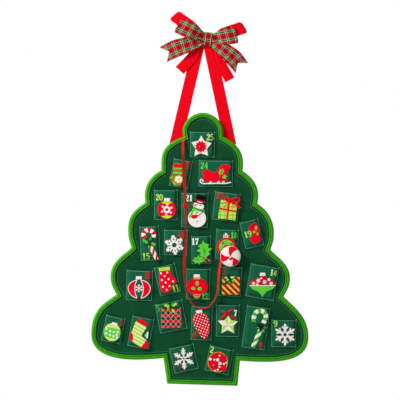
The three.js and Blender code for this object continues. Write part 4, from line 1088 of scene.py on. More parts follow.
def makeBinding():
    slotBack, slotFront = binding["back"] + binding["wall"], binding["front"] - binding["wall"]
    outside = binding["outside"]
    depths = (binding["wide"], binding["middle"], binding["fold"])
    inside = [(depth, slotBack) for depth in depths] + [(depth, slotFront) for depth in reversed(depths)]
    verts, faces, uvs = [], [], []
    travelled = 0.0
    widths = np.concatenate([[0], np.cumsum([math.dist(p, q) for p, q in zip(outside, outside[1:])])])
    count, size = len(stations), len(outside) + len(inside)
    for i, (point, inward) in enumerate(stations):
        travelled += (point - stations[i - 1][0]).length if i else 0
        wave = math.sin(2 * math.pi * travelled / binding["puckerPitch"]) + 1.6 * ripple(travelled, 0, 9, 3)
        for n, (distance, forward) in enumerate(outside + inside):
            if n < len(outside):
                # Only the front is puckered, and neither its edge nor its lip
                raised = smooth(0, 4, distance) * smooth(0, 3, binding["wide"] + 0.5 - distance) * (forward > 5)
                forward += binding["pucker"] * wave * raised
                uvs.append((travelled, widths[n]))
            else:
                uvs.append((travelled, 0))
            spot = point + inward * distance
            verts.append(panelPlace(spot.x, spot.y, forward))
    for i in range(count):
        a, c = i * size, ((i + 1) % count) * size
        for k in range(size):
            n = (k + 1) % size
            faces.append([a + k, c + k, c + n, a + n])
    part = (verts, faces, bindingTape, uvs)
    piece = makePiece("edge_binding_tape", [part], sharp=75)
    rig.replaces(piece, "edge_binding")
    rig.slot(piece, "binding")
    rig.sheet(piece, flat=(0.026, travelled * mm), held="folded", rests_on=["front_panel_felt", "back_panel_felt"])


makeBinding()
makePanels()
print("panels and binding made")

# Pockets: across, down, width, height, tilt; they stand off the panel between their seams
pockets = {
    25: (-3, 203.7, 53, 54, 0.7), 23: (-48.9, 265, 41, 59, 10.8), 24: (25, 265, 73, 56, 1),
    20: (-80.7, 331.65, 50, 64, 0.5), 21: (-19.5, 342.45, 57, 73, 1), 22: (47, 335.25, 54, 60, 7),
    15: (-114.3, 412.75, 42, 73, -2.7), 16: (-59.9, 411.05, 50, 54, 1), 17: (-5.7, 426.75, 42, 59, -1.5),
    18: (48.7, 414.65, 48, 63, 2.7), 19: (101.4, 392.45, 41, 58, -13.3),
    10: (-136.8, 501.85, 56, 64, 2), 11: (-77.3, 489.65, 46, 62, -13), 12: (-12.3, 498.95, 51, 66, 1),
    13: (55, 493.45, 49, 63, 3), 14: (123.4, 494.65, 61, 71, 10),
    3: (-192.4, 595.25, 42, 56, 12.5), 4: (-133.8, 601.35, 47, 65, 10.5), 5: (-69.6, 567.55, 59, 63, -10.7),
    6: (-4.9, 581.75, 45, 72, 2), 7: (50.4, 576.65, 50, 68, 1), 8: (109.9, 591.45, 50, 90, 8),
    9: (169.1, 603.55, 53, 58, 0.7), 1: (-42.3, 656.45, 53, 55, -12.5), 2: (32.2, 659.85, 52, 55, 13),
}
cut = {"back": 7.8, "thick": 1.2, "room": 5.2, "seam": 1.8, "slope": 5.5, "hemSlope": 7.5, "stitchInset": 1.0,
       "mouthStitch": 1.6}


def pocketBack(day, x, y):
    # How far forward the pocket's inner face stands at a point measured from its middle
    _, _, wide, tall, _ = pockets[day]
    sides = smooth(cut["seam"], cut["seam"] + cut["slope"], wide / 2 - abs(x))
    hem = smooth(cut["seam"], cut["seam"] + cut["hemSlope"], tall / 2 + y)
    mouth = smooth(0.5, 1, (y + tall / 2) / tall)
    droop = ripple(x + day * 9, y, 16, day) * 0.25 + mouth * 0.35 * math.cos(x / wide * math.pi)
    return cut["back"] + (cut["room"] + droop) * sides * hem


def pocketPlace(day):
    across, down, _, _, tilt = pockets[day]
    cos, sin = math.cos(math.radians(tilt)), math.sin(math.radians(tilt))
    return lambda x, y, forward: at(across + x * cos + y * sin, down + x * sin - y * cos, forward)


def makePocket(day):
    _, _, wide, tall, _ = pockets[day]
    place = pocketPlace(day)
    xs = np.unique(np.concatenate([np.linspace(-wide / 2, wide / 2, 25), [s * (wide / 2 - e) for s in (-1, 1)
                                                                         for e in (0.4, 1.8, 3, 4.4, 5.8)]]))
    ys = np.unique(np.concatenate([np.linspace(-tall / 2, tall / 2, 25), [-tall / 2 + e for e in (0.4, 1.8, 3.2, 5)],
                                   [tall / 2 - e for e in (0.4, 1.2)]]))
    verts, uvs = [], []
    for front in (1, 0):
        for y in ys:
            for x in xs:
                edge = min(wide / 2 - abs(x), tall / 2 - abs(y))
                thick = cut["thick"] * (0.6 + 0.4 * min(1, edge / 0.4))
                verts.append(place(x, y, pocketBack(day, x, y) + front * thick))
                uvs.append((x, y))
    part = (verts, shellFaces(len(ys), len(xs)), pocketFelt, uvs)
    piece = makePiece("pocket_%02d_felt" % day, [part], sharp=50)
    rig.replaces(piece, "pocket_%02d" % day)
    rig.slot(piece, "pocket_felt")
    return piece


def pocketSeams(day):
    _, _, wide, tall, _ = pockets[day]
    place = pocketPlace(day)
    side, foot, top = wide / 2 - cut["stitchInset"], -tall / 2 + cut["stitchInset"], tall / 2
    on = lambda x, y: place(x, y, pocketBack(day, x, y) + cut["thick"] + 0.1)
    sewn = divided([(-side, top, 0), (-side, foot, 0), (side, foot, 0), (side, top, 0)], 3, closed=False)
    mouth = divided([(-side, top - cut["mouthStitch"], 0), (side, top - cut["mouthStitch"], 0)], 3, closed=False)
    return [[on(p.x, p.y) for p in sewn], [on(p.x, p.y) for p in mouth]]


pocketPieces = {day: makePocket(day) for day in pockets}
sewLines("pocket_seams", [line for day in pockets for line in pocketSeams(day)], seamThread)
print("pockets made")

# Motifs: each day's cut shapes in levels; level 0 is the shape that the others are sewn or printed on.
# They are drawn across and down from the motif's middle, in tenths of a pixel of the photo.
levels = {"back": 14.5, "thick": 1.15, "overlayBack": 15.3, "overlayThick": 0.62, "step": 0.24, "beadRise": 1.6,
          "cut": 1.6, "mesh": 2.6, "edge": 0.35, "crown": 0.08}
tenth = 0.1  # of a pixel of the photo


def fromPhoto(x, y):
    return ((x - view["crotchPixel"][0]) * view["mmPerPixel"], (view["crotchPixel"][1] - y) * view["mmPerPixel"])


def spun(points, tilt, x=0.0, y=0.0):
    # Turned clockwise as seen from the front, from across and up to the photo's across and down
    return [(a, -b) for a, b in turned(points, tilt, x, -y)]


def circle(radiusX, radiusY, steps):
    return [(radiusX * math.cos(2 * math.pi * i / steps), radiusY * math.sin(2 * math.pi * i / steps))
            for i in range(steps)]


def cutShape(level, felt, points, *holes):
    return {"level": level, "felt": felt, "loops": [points, *holes], "round": False}


def roundShape(level, felt, points):
    return {"level": level, "felt": felt, "loops": [points], "round": True}


def strip(level, felt, points, wide, tip=None):
    return {"level": level, "felt": felt, "path": points, "wide": wide, "tip": wide if tip is None else tip}


def bead(felt, x, y, radius, level=1):
    return {"level": level, "felt": felt, "dome": (x, y), "radius": radius}


def discShape(level, felt, x, y, radiusX, radiusY=None, tilt=0.0, hole=None):
    ring = circle(radiusX, radiusY or radiusX, 36 if radiusX > 30 else 14)
    return cutShape(level, felt, spun(ring, tilt, x, y), *holeRing(hole, x, y))


def holeRing(radius, x, y):
    return [spun(circle(radius, radius, 12), 0, x, y)] if radius else []


def block(level, felt, x, y, wide, tall, tilt=0.0, taper=1.0):
    return cutShape(level, felt, spun([(-wide * taper / 2, -tall / 2), (wide * taper / 2, -tall / 2),
                                       (wide / 2, tall / 2), (-wide / 2, tall / 2)], tilt, x, y))


def leaf(level, felt, x, y, long, wide, tilt, spikes=3):
    # A holly leaf has scalloped sides with a spine between the scallops
    side = []
    for i in range(spikes):
        low, high = i / spikes, (i + 1) / spikes
        reach = math.sin(math.pi * (low + high) / 2)
        side.append((wide * 0.26 * reach, long * (mix(low, high, 0.35) - 0.5)))
        if i < spikes - 1:
            side.append((wide * 0.56 * math.sin(math.pi * high), long * (high - 0.5) - long * 0.02))
    half = [(0, -long / 2), *side, (0, long / 2), *[(-a, b) for a, b in reversed(side)]]
    return cutShape(level, felt, spun(half, tilt, x, y))


def petals(level, felt, x, y, count, inner, outer, wide, tilt=0.0):
    middle = mix(inner, outer, 0.5)
    shape = [(0, inner), (-wide / 2, middle), (0, outer), (wide / 2, middle)]
    return [cutShape(level, felt, spun(shape, tilt + 360 * i / count, x, y)) for i in range(count)]


def spiky(level, felt, x, y, outer, inner, count, tilt=0.0):
    # A ring of points, for a full flower or a ruffled bow
    ring = [(outer if i % 2 else inner, math.pi * i / count) for i in range(2 * count)]
    return cutShape(level, felt, spun([(r * math.sin(a), r * math.cos(a)) for r, a in ring], tilt, x, y))


def flake(level, felt, x, y, radius, wide=7, tilt=0.0, barbs=True):
    # A small printed or stitched snowflake: three crossed lines, with barbs on the larger ones
    shapes = []
    for i in range(6):
        shapes.append(strip(level, felt, spun([(0, 2), (0, radius)], tilt + 60 * i, x, y), wide))
        if barbs:
            tips = [(-radius * 0.3, radius * 0.95), (0, radius * 0.6), (radius * 0.3, radius * 0.95)]
            shapes.append(strip(level, felt, spun(tips, tilt + 60 * i, x, y), wide * 0.8))
    return shapes


def sixArms(level, felt, x, y, half, tilt, hole=None):
    # Six arms round one middle from half an arm's outline, mirrored and turned
    whole = half + [(-a, b) for a, b in reversed(half)]
    ring = [point for i in range(6) for point in spun(whole, tilt - 60 * i, x, y)]
    return cutShape(level, felt, ring, *holeRing(hole, x, y))


def starFacets(x, y, tips, share, light, dark):
    # Each arm is folded down its middle: one half light, one half dark
    inner = [(mix(x, (a[0] + b[0]) / 2, share), mix(y, (a[1] + b[1]) / 2, share))
             for a, b in zip(tips, tips[1:] + tips[:1])]
    return [cutShape(1, felt, [tip, inner[n], (x, y)])
            for i, tip in enumerate(tips) for felt, n in ((light[i], i - 1), (dark[i], i))]


def cane(level, hook, hookWidth, shaft, shaftWidth, prints):
    return [strip(level, prints[0], hook, hookWidth), strip(level, prints[1], shaft, shaftWidth, shaftWidth * 0.9)]


# Half arms of the three snowflakes: across and up from the middle
fernArm = [(7.5, 14), (7, 37), (25, 56), (23, 65), (11, 59), (11, 66), (25, 82), (21, 90), (10, 83), (10, 96),
           (3.5, 109)]
barbArm = [(13.5, 26), (13, 52), (36, 76), (27, 86), (12, 74), (12, 100), (5, 110)]
chunkyArm = [(19, 34), (20, 46), (36, 59), (32, 73), (15, 69), (19, 86), (11, 97)]

motifs = {
    25: ("star", "white_felt", (202, 146), [
        cutShape(0, "white", [(-7, -105), (23, -52), (97, -27), (50, 30), (63, 100), (-10, 75), (-77, 100),
            (-65, 30), (-105, -35), (-35, -52)]), leaf(1, "lime", -64, 0, 66, 44, -60, 1),
        leaf(1, "lime", 41, -18, 64, 42, 50, 1), leaf(1, "lime", -30, 60, 56, 40, 10, 1),
        spiky(2, "red", -12, 8, 64, 47, 11), *petals(3, "crimson", -12, 8, 6, 8, 46, 10, 16),
        # The small pearl bead on the flower's dark middle stands for a glint: a painted highlight
        discShape(4, "darkRed", -14, 9, 15), bead("pearl", -20, 7, 6, 4)]),
    23: ("mitten", "red_felt", (176, 175), [
        roundShape(0, "tan", [(-18, -110), (60, -110), (64, -50), (68, 20), (62, 75), (45, 108), (-6, 110),
            (-34, 85), (-42, 62), (-56, 50), (-61, 26), (-44, 10), (-30, -25)]), block(1, "red", 21, -91, 86, 34, 2),
        block(1, "green", 20, -63, 86, 13, 2), block(1, "tan", 20, -45, 86, 14, 2),
        block(1, "green", 18, -20, 92, 20, 2), block(1, "brown", 18, 2, 94, 12, 2),
        discShape(1, "lime", 26, 44, 42, 40),
        cutShape(2, "green", [(-30, 58), (-12, 76), (10, 94), (0, 106), (-20, 96), (-32, 78)]),
        strip(1, "green", [(-61, 29), (-32, 19)], 18), strip(1, "red", [(-56, 46), (-34, 38)], 12),
        *petals(2, "white", 30, 43, 6, 13, 42, 26, 10), discShape(3, "white", 30, 43, 21),
        discShape(4, "red", 30, 43, 8)]),
    24: ("sleigh", "red_felt", (216, 174), [
        roundShape(0, "red", [(-140, -15), (-126, -33), (-93, -47), (-67, -38), (-47, -23), (-24, -14), (-1, -23),
            (17, -43), (37, -74), (58, -89), (88, -97), (127, -89), (147, -74), (144, -56), (128, -43), (119, -20),
            (110, 3), (106, 49), (104, 64), (86, 74), (-10, 75), (-113, 74), (-126, 54), (-130, 33), (-125, 13),
            (-135, -2)]),
        strip(0, "white", [(-126, 78), (-144, 53), (-158, 72), (-140, 93), (-100, 96), (0, 94), (100, 94),
            (150, 84)], 13), strip(0, "white", [(-66, 90), (-54, 72), (-42, 90)], 10),
        strip(0, "white", [(14, 90), (26, 72), (38, 90)], 10), strip(0, "white", [(64, 90), (74, 72), (86, 90)], 10),
        leaf(1, "green", 55, -24, 82, 54, 24, 3), leaf(1, "green", 90, 28, 64, 38, 78, 2),
        strip(2, "darkGreen", [(66, -54), (46, 6)], 5), bead("berry", 38, 33, 15)]),
    20: ("bauble", "red_felt", (167, 209), [
        discShape(0, "red", -2, 5, 92, 94), block(0, "white", 2, -93, 60, 32, 2),
        cutShape(1, "lime", [(-56, -60), (-30, -78), (0, -85), (30, -78), (54, -60), (0, -50)]),
        cutShape(1, "lime", [(-54, 72), (0, 64), (52, 70), (30, 88), (0, 96), (-32, 89)]),
        *petals(1, "white", -1, 6, 6, 33, 66, 28, 8), discShape(1, "white", -1, 6, 35, hole=15),
        bead("berry", -1, 6, 9)]),
    21: ("snowman", "white_felt", (195, 208), [
        discShape(0, "white", 20, 103, 91, 90), discShape(0, "white", 36, -20, 55, 48),
        cutShape(1, "black", [(22, -140), (112, -116), (94, -50), (2, -76)]),
        strip(2, "red", [(6, -84), (96, -60)], 14), strip(3, "black", [(-26, -74), (35, -51), (106, -34)], 13),
        cutShape(2, "orange", [(-41, -36), (14, -40), (14, -16)]), discShape(2, "black", 26, -34, 6),
        discShape(2, "black", 56, -26, 6), strip(1, "midGreen", [(-24, -8), (30, 18), (100, 28)], 28),
        strip(2, "green", [(-6, 6), (-32, 50), (-52, 94)], 24), strip(2, "lime", [(8, 15), (9, 60)], 18),
        strip(2, "brown", [(90, 26), (65, 52), (24, 82)], 9),
        roundShape(3, "red", [(26, 68), (16, 100), (-14, 106), (-38, 96), (-34, 74), (-4, 66)]),
        roundShape(0, "red", [(-118, -32), (-94, -48), (-68, -34), (-68, -8), (-94, 4), (-114, -6)]),
        strip(0, "brown", [(-74, -8), (-46, 24)], 12), bead("berry", 24, 46, 7), bead("berry", 22, 135, 7)]),
    22: ("gift", "lime_felt", (229, 209), [
        cutShape(0, "limeChecks", [(-82, -92), (85, -67), (63, 115), (-112, 95)]),
        strip(1, "red", [(-96, -6), (76, 26)], 22), strip(1, "red", [(3, -70), (-24, 103)], 22),
        *[strip(2, "red", [(20, -74), tip], 11, 8) for tip in ((-78, -54), (-54, -18), (-26, -6), (56, -10),
            (86, -16))], strip(3, "red", [(20, -82), (-18, -118), (-42, -106), (-26, -84), (14, -74)], 17),
        strip(3, "red", [(20, -82), (70, -112), (100, -102), (94, -74), (26, -74)], 17),
        strip(4, "red", [(10, -82), (60, -58), (112, -8)], 18), discShape(5, "crimson", 16, -81, 13)]),
    15: ("candy_cane", "red_felt", (150, 245), [
        *cane(0, [(-50, -68), (-64, -98), (-52, -134), (-16, -150), (20, -136), (38, -102), (34, -74)], 43,
            [(-4, -10), (30, 60), (69, 144)], 43, ("redCane", "redShaft")), spiky(1, "darkGreen", -4, -30, 64, 34, 9),
        leaf(2, "leafGreen", -48, -38, 86, 44, -58, 3), leaf(2, "midGreen", 4, -64, 56, 36, 10, 2),
        leaf(2, "leafGreen", 34, -12, 72, 40, -58, 3), leaf(2, "midGreen", -10, 22, 50, 26, 10, 2),
        spiky(3, "darkGreen", -4, -30, 20, 12, 6), bead("berry", -1, -44, 9, 3)]),
    16: ("snowflake", "white_felt", (174, 245), [
        sixArms(0, "white", 4, 0, chunkyArm, -8, 24),
        *[discShape(1, "pocketShade", 4 + 57 * math.cos(a), 57 * math.sin(a), 8.5)
            for a in np.radians(np.arange(6) * 60 + 22)],
        *[cutShape(1, "pocketShade", [(4 + r * math.cos(a + b), r * math.sin(a + b)) for r, b in ((43, 0),
            (94, -0.16), (94, 0.16))]) for a in np.radians(np.arange(6) * 60 + 52)]]),
    17: ("holly", "green_felt", (202, 252), [
        leaf(0, "green", 22, -26, 185, 145, -8, 4), discShape(0, "green", 26, -18, 44, 64, -8),
        leaf(0, "green", -28, 78, 134, 90, 82, 4), discShape(0, "green", -20, 78, 44, 26),
        strip(1, "midGreen", [(4, -94), (24, 40)], 5), strip(1, "midGreen", [(-74, 78), (20, 70)], 5),
        bead("berry", 46, 66, 19, 1), bead("berry", 74, 86, 17, 1), bead("berry", 38, 96, 15, 1)]),
    18: ("bauble", "red_felt", (226, 247), [
        discShape(0, "red", 5, 0, 97), block(0, "white", 2, -106, 56, 34, 4), discShape(1, "green", 5, 0, 74),
        discShape(2, "red", 5, 10, 36), discShape(0, "white", 0, -130, 12),
        strip(1, "crimson", [(-14, -120), (-16, -90)], 8), strip(1, "crimson", [(4, -120), (2, -90)], 8),
        strip(1, "crimson", [(22, -120), (20, -90)], 8),
        *[leaf(3 + i % 2, ("lime", "midGreen", "green")[i % 3], 5 + 57 * math.cos(i * 0.571),
            57 * math.sin(i * 0.571), 38, 18, 90 + i * 32.7 + (18 if i % 2 else -14), 2) for i in range(11)],
        *[bead("pearl", 5 + 56 * math.cos(i * 1.26 + 0.4), 56 * math.sin(i * 1.26 + 0.4), 6, 4) for i in range(5)],
        *[bead("berry", 5 + 58 * math.cos(i * 1.57 + 1), 58 * math.sin(i * 1.57 + 1), 7, 4) for i in range(4)]]),
    19: ("stocking", "red_felt", (255, 233), [
        roundShape(0, "red", [(5, -103), (33, -65), (48, -20), (44, 25), (59, 63), (30, 92), (-3, 112), (-30, 92),
            (-52, 60), (-22, 28), (-30, -5), (-66, -48), (-40, -80)]), discShape(1, "green", 10, -52, 13, 20),
        discShape(1, "green", -8, -11, 15, 12), discShape(1, "green", 24, 8, 10, 15), bead("berry", 18, -19, 9, 1),
        strip(1, "crimson", [(-60, -42), (-30, -64), (6, -94)], 12)]),
    10: ("bauble", "red_felt", (139, 288), [
        block(0, "white", 0, -102, 60, 32),
        cutShape(0, "red", [(-20, -85), (-65, -68), (-98, -38), (-110, -2), (-96, 46), (-62, 84), (-20, 105),
            (-36, 56), (-42, 4), (-36, -44)]),
        cutShape(0, "red", [(20, -85), (68, -70), (104, -40), (118, -2), (104, 46), (66, 86), (20, 105), (38, 56),
            (45, 4), (38, -44)]), strip(1, "white", [(-18, -80), (-35, -40), (-40, 4), (-34, 54), (-18, 100)], 8),
        strip(1, "white", [(19, -80), (37, -40), (43, 4), (37, 54), (19, 100)], 8),
        strip(1, "white", [(-20, -82), (-64, -66), (-97, -36), (-108, 0), (-94, 46), (-62, 82), (-24, 102)], 7),
        strip(1, "white", [(22, -82), (68, -67), (102, -38), (115, 0), (102, 46), (66, 84), (24, 102)], 7),
        *flake(1, "white", 1, 2, 37, 8)]),
    11: ("mitten", "red_felt", (167, 281), [
        roundShape(0, "red", [(-70, -102), (-76, -45), (-75, 10), (-65, 70), (-40, 110), (-10, 118), (25, 105),
            (45, 70), (45, 27), (68, 30), (93, 15), (90, -16), (54, -52), (33, -104), (-20, -108)]),
        cutShape(1, "lime", [(-84, -130), (28, -146), (33, -109), (-78, -98)]),
        *[discShape(1, "white", x, y, 10.5) for x, y in ((-60, -78), (3, -85), (-24, -50), (17, -20), (-50, -10),
            (-12, 15), (60, 2), (26, 49), (-40, 56), (-2, 86))]]),
    12: ("bauble", "red_felt", (197, 287), [
        block(0, "white", -2, -113, 62, 29), discShape(0, "red", 3, -6, 103, 84), block(0, "gold", 0, -84, 72, 29),
        roundShape(0, "gold", [(-36, 72), (36, 72), (28, 100), (0, 116), (-28, 100)]),
        strip(1, "crimson", [(-30, 86), (30, 86)], 10), strip(1, "crimson", [(-16, 106), (16, 106)], 8),
        strip(1, "crimson", [(-70, -56), (-52, -68), (0, -74), (52, -68), (76, -54)], 11),
        discShape(1, "green", 2, -38, 17, 23), discShape(1, "green", -38, 12, 21, 16),
        discShape(1, "green", 27, 16, 22, 17), bead("berry", -6, -3, 12, 1)]),
    13: ("gift", "red_felt", (231, 286), [
        cutShape(0, "giftStripes", [(-88, -86), (88, -90), (84, 86), (-92, 82)]),
        spiky(1, "darkGreen", -14, -68, 62, 34, 9, 10), leaf(1, "darkGreen", -46, -40, 74, 40, 20, 3),
        leaf(2, "green", -54, -84, 54, 28, -70, 2), leaf(2, "lime", 18, -88, 58, 30, 64, 2),
        leaf(2, "midGreen", -16, -44, 50, 28, 10, 2), leaf(3, "lime", -36, -62, 46, 22, -120, 2),
        # The two small white strips on the bow are painted highlights on its dark loops
        leaf(3, "green", 24, -54, 46, 24, 110, 2), strip(4, "white", [(-6, -94), (14, -84)], 10),
        strip(4, "white", [(-56, -92), (-40, -78)], 10), discShape(4, "black", -12, -68, 12)]),
    14: ("onion_bauble", "green_felt", (262, 286), [
        cutShape(0, "crimson", [(-130, -10), (-120, -45), (-80, -72), (-25, -88), (-20, -102), (32, -102),
            (40, -85), (90, -70), (130, -40), (139, -10)]), block(0, "white", 6, -118, 52, 32, 0, 1.2),
        cutShape(0, "green", [(-128, -6), (-100, 30), (-40, 55), (-15, 80), (3, 109), (23, 80), (45, 55), (105, 30),
            (136, -6)]), strip(1, "white", [(-124, -7), (0, -5), (134, -7)], 8),
        *[shape for x, y, radius in ((-38, -55, 24), (25, -41, 23), (-86, -28, 18), (68, -66, 16), (89, -26, 19),
            (-8, -78, 10), (-48, -18, 11)) for shape in flake(1, "white", x, y, radius, 10, x * 0.9 + 198, False)]]),
    3: ("bauble", "lime_felt", (112, 331), [
        discShape(0, "paleLime", 3, 10, 85, 90), cutShape(0, "white", [(3, -92), (58, -78), (50, -48), (-2, -62)]),
        cutShape(1, "green", [(-74, -30), (-40, -44), (0, -36), (50, -24), (84, -12), (89, 20), (76, 66), (40, 80),
            (-14, 68), (-68, 52), (-81, 10)]),
        *[discShape(2, "white", x, y, 12.5) for x, y in ((-53, -26), (-17, -3), (-58, 20), (19, 9), (60, 8),
            (-19, 38), (48, 36), (15, 52), (52, 64))]]),
    4: ("stocking", "lime_felt", (139, 333), [
        roundShape(0, "sockStripes", [(-20, -122), (76, -64), (53, -20), (30, 28), (73, 70), (93, 100), (86, 135),
            (60, 150), (20, 140), (-60, 89), (-87, 63), (-87, 15), (-70, -20), (-50, -70)]),
        cutShape(1, "red", [(-2, -152), (93, -97), (78, -65), (-20, -120)]),
        roundShape(1, "red", [(-76, -15), (-58, 30), (-66, 82), (-89, 65), (-89, 14)]),
        roundShape(1, "red", [(72, 73), (95, 100), (88, 136), (60, 152), (20, 142), (46, 106)]),
        strip(2, "crimson", [(-20, -120), (78, -64)], 8)]),
    5: ("gift", "red_felt", (171, 316), [
        cutShape(0, "argyle", [(-98, -80), (100, -86), (104, 116), (-96, 120)]),
        leaf(1, "darkGreen", -50, -82, 80, 44, -100, 3), leaf(1, "darkGreen", 40, -82, 70, 40, 110, 3),
        leaf(1, "darkGreen", -4, -126, 64, 46, 0, 2), leaf(2, "lime", -44, -104, 72, 36, -66, 3),
        leaf(2, "lime", 40, -116, 76, 38, 60, 3), leaf(3, "midGreen", -16, -108, 48, 22, -30, 2),
        leaf(3, "midGreen", 12, -124, 46, 22, 28, 2), leaf(3, "lime", 26, -48, 70, 28, 152, 2),
        leaf(3, "green", -28, -70, 50, 24, 210, 2), discShape(4, "darkGreen", -2, -88, 17)]),
    6: ("long_bauble", "red_felt", (201, 324), [
        roundShape(0, "redDots", [(-35, -115), (20, -115), (55, -85), (80, -30), (87, 30), (75, 90), (55, 135),
            (35, 150), (3, 126), (-40, 65), (-72, 5), (-80, -55), (-65, -90)]),
        cutShape(0, "white", [(-54, -134), (10, -150), (16, -118), (-42, -102)])]),
    7: ("star", "lime_felt", (228, 321), [
        cutShape(0, "paleLime", [(3, -55), (34, -10), (100, 0), (56, 46), (63, 120), (-2, 90), (-67, 120),
            (-58, 46), (-102, -5), (-34, -10)]),
        *starFacets(-2, 34, [(3, -55), (100, 0), (63, 120), (-67, 120), (-102, -5)], 0.62, ["lime", "lime", "lime",
            "white", "white"], ["white", "white", "white", "lime", "white"]),
        strip(2, "red", [(-6, -80), (-66, -102)], 20, 12), strip(2, "red", [(-6, -80), (-82, -14)], 19, 12),
        strip(2, "red", [(-8, -80), (44, -118)], 20, 12), strip(2, "crimson", [(-8, -78), (88, -16)], 19, 12),
        discShape(4, "crimson", -7, -80, 14)]),
    8: ("candy_cane", "green_felt", (259, 329), [
        *cane(0, [(-54, -74), (-48, -134), (-24, -172), (14, -184), (56, -164), (68, -120), (42, -58)], 45,
            [(18, 0), (-18, 80), (-62, 180)], 46, ("greenCane", "greenShaft")),
        spiky(1, "darkGreen", 20, -22, 50, 26, 8), leaf(2, "black", -2, -42, 54, 28, -50, 2),
        leaf(2, "midGreen", 62, -16, 56, 28, 80, 2), leaf(2, "black", 12, 8, 50, 24, 200, 2),
        leaf(3, "green", 44, 16, 48, 22, 150, 2), leaf(3, "green", -14, -16, 36, 18, -110, 1),
        discShape(4, "black", 24, -20, 13)]),
    9: ("snowflake", "white_felt", (285, 334), [
        sixArms(0, "white", 0, 5, barbArm, 0, 17)]),
    1: ("snowflake", "white_felt", (184, 358), [
        sixArms(0, "white", -2, 4, fernArm, -4, 9)]),
    2: ("bauble", "white_felt", (218, 362), [
        discShape(0, "crimson", -2, -2, 102), discShape(1, "gold", -2, -2, 101.5, hole=96),
        cutShape(0, "crimson", [(4, -110), (64, -92), (52, -56), (-4, -74)]), spiky(1, "red", -46, 28, 54, 40, 9),
        spiky(1, "red", 56, -44, 38, 27, 8), spiky(1, "red", 56, 60, 34, 24, 8), spiky(1, "red", -34, -64, 29, 20, 7),
        *petals(2, "darkRed", -46, 28, 6, 8, 38, 8, 20), *petals(2, "darkRed", 56, -44, 5, 6, 28, 7, 10),
        *[spiky(3, "white", x, y, radius * 1.25, radius * 0.8, 6, x * 0.7 + 86) for x, y, radius in ((-76, -31, 15),
            (-36, -26, 10), (-2, -24, 16), (16, -66, 10), (20, 12, 17), (60, 16, 12), (82, 4, 9), (14, 46, 12),
            (-2, 74, 11), (-30, 84, 10))], discShape(3, "gold", -46, 28, 9)]),
}


def motifPart(layer, middle):
    material = felts.get(layer["felt"]) or {"berry": berryBead, "pearl": pearlBead}[layer["felt"]]
    onPanel = lambda points: [fromPhoto(middle[0] + x * tenth, middle[1] + y * tenth) for x, y in points]
    scale = view["mmPerPixel"] * tenth
    level = layer["level"]
    back = levels["back"] if level == 0 else levels["overlayBack"]
    thick = levels["thick"] if level == 0 else levels["overlayThick"] + (level - 1) * levels["step"]
    if "dome" in layer:
        radius = layer["radius"] * scale
        rise = thick + levels["beadRise"] * min(1, radius / 2)
        return domePart(*onPanel([layer["dome"]])[0], radius, back, rise, material, panelPlace)
    if "path" in layer:
        wide = lambda share: mix(layer["wide"], layer["tip"], share) * scale
        return stripPart(onPanel(layer["path"]), wide, back, thick, material, panelPlace, step=1.4, crown=0.05)
    loops = [[(*p, 0) for p in onPanel(loop)] for loop in layer["loops"]]
    loops = [smoothPath(loop, levels["cut"], closed=True) if layer["round"] else divided(loop, levels["cut"])
             for loop in loops]
    loops = [[tuple(p[:2]) for p in loop] for loop in loops]
    edge = levels["edge"]

    def heights(x, y, gap):
        rounded = back + thick * (0.5 + 0.5 * min(1, gap / edge) ** 0.5)
        return back, rounded + levels["crown"] * smooth(edge, 6, gap)

    return sheetPart(loops, heights, material, panelPlace, levels["mesh"], edge)


def makeMotif(day):
    name, slot, middle, layers = motifs[day]
    piece = makePiece("motif_%02d_%s_felt" % (day, name), [motifPart(layer, middle) for layer in layers])
    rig.replaces(piece, "motif_%02d_%s" % (day, name))
    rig.slot(piece, slot)
    return piece


motifPieces = {day: makeMotif(day) for day in motifs}
print("motifs made")

# Numerals: colour and middle in the photo's pixels; about 14 mm high, sewn flat on the pocket
numerals = {
    25: ("paleLime", 210, 137.2), 23: ("red", 187.7, 165), 24: ("green", 204.2, 165.5), 20: ("lime", 159.2, 197.2),
    21: ("white", 189, 198), 22: ("red", 220, 195.6), 15: ("lime", 146, 256.2), 16: ("red", 181.5, 235),
    17: ("white", 195, 241.5), 18: ("green", 234, 235.2), 19: ("lime", 247.7, 234.2), 10: ("red", 148, 275.2),
    11: ("lime", 175.5, 288), 12: ("green", 205, 296), 13: ("darkRed", 223, 271), 14: ("paleLime", 273.5, 272.7),
    3: ("red", 121.6, 322.5), 4: ("white", 146.8, 334.7), 5: ("midGreen", 158, 308.2), 6: ("red", 194.6, 335.2),
    7: ("white", 235.5, 313), 8: ("red", 260.7, 345.2), 9: ("lime", 275.5, 323.5), 1: ("darkRed", 180, 368.2),
    2: ("lime", 212, 349.5),
}
digitSize = {"tall": 14.0, "wide": 13.2, "advance": 0.6, "thick": 0.3, "sunk": 0.25}

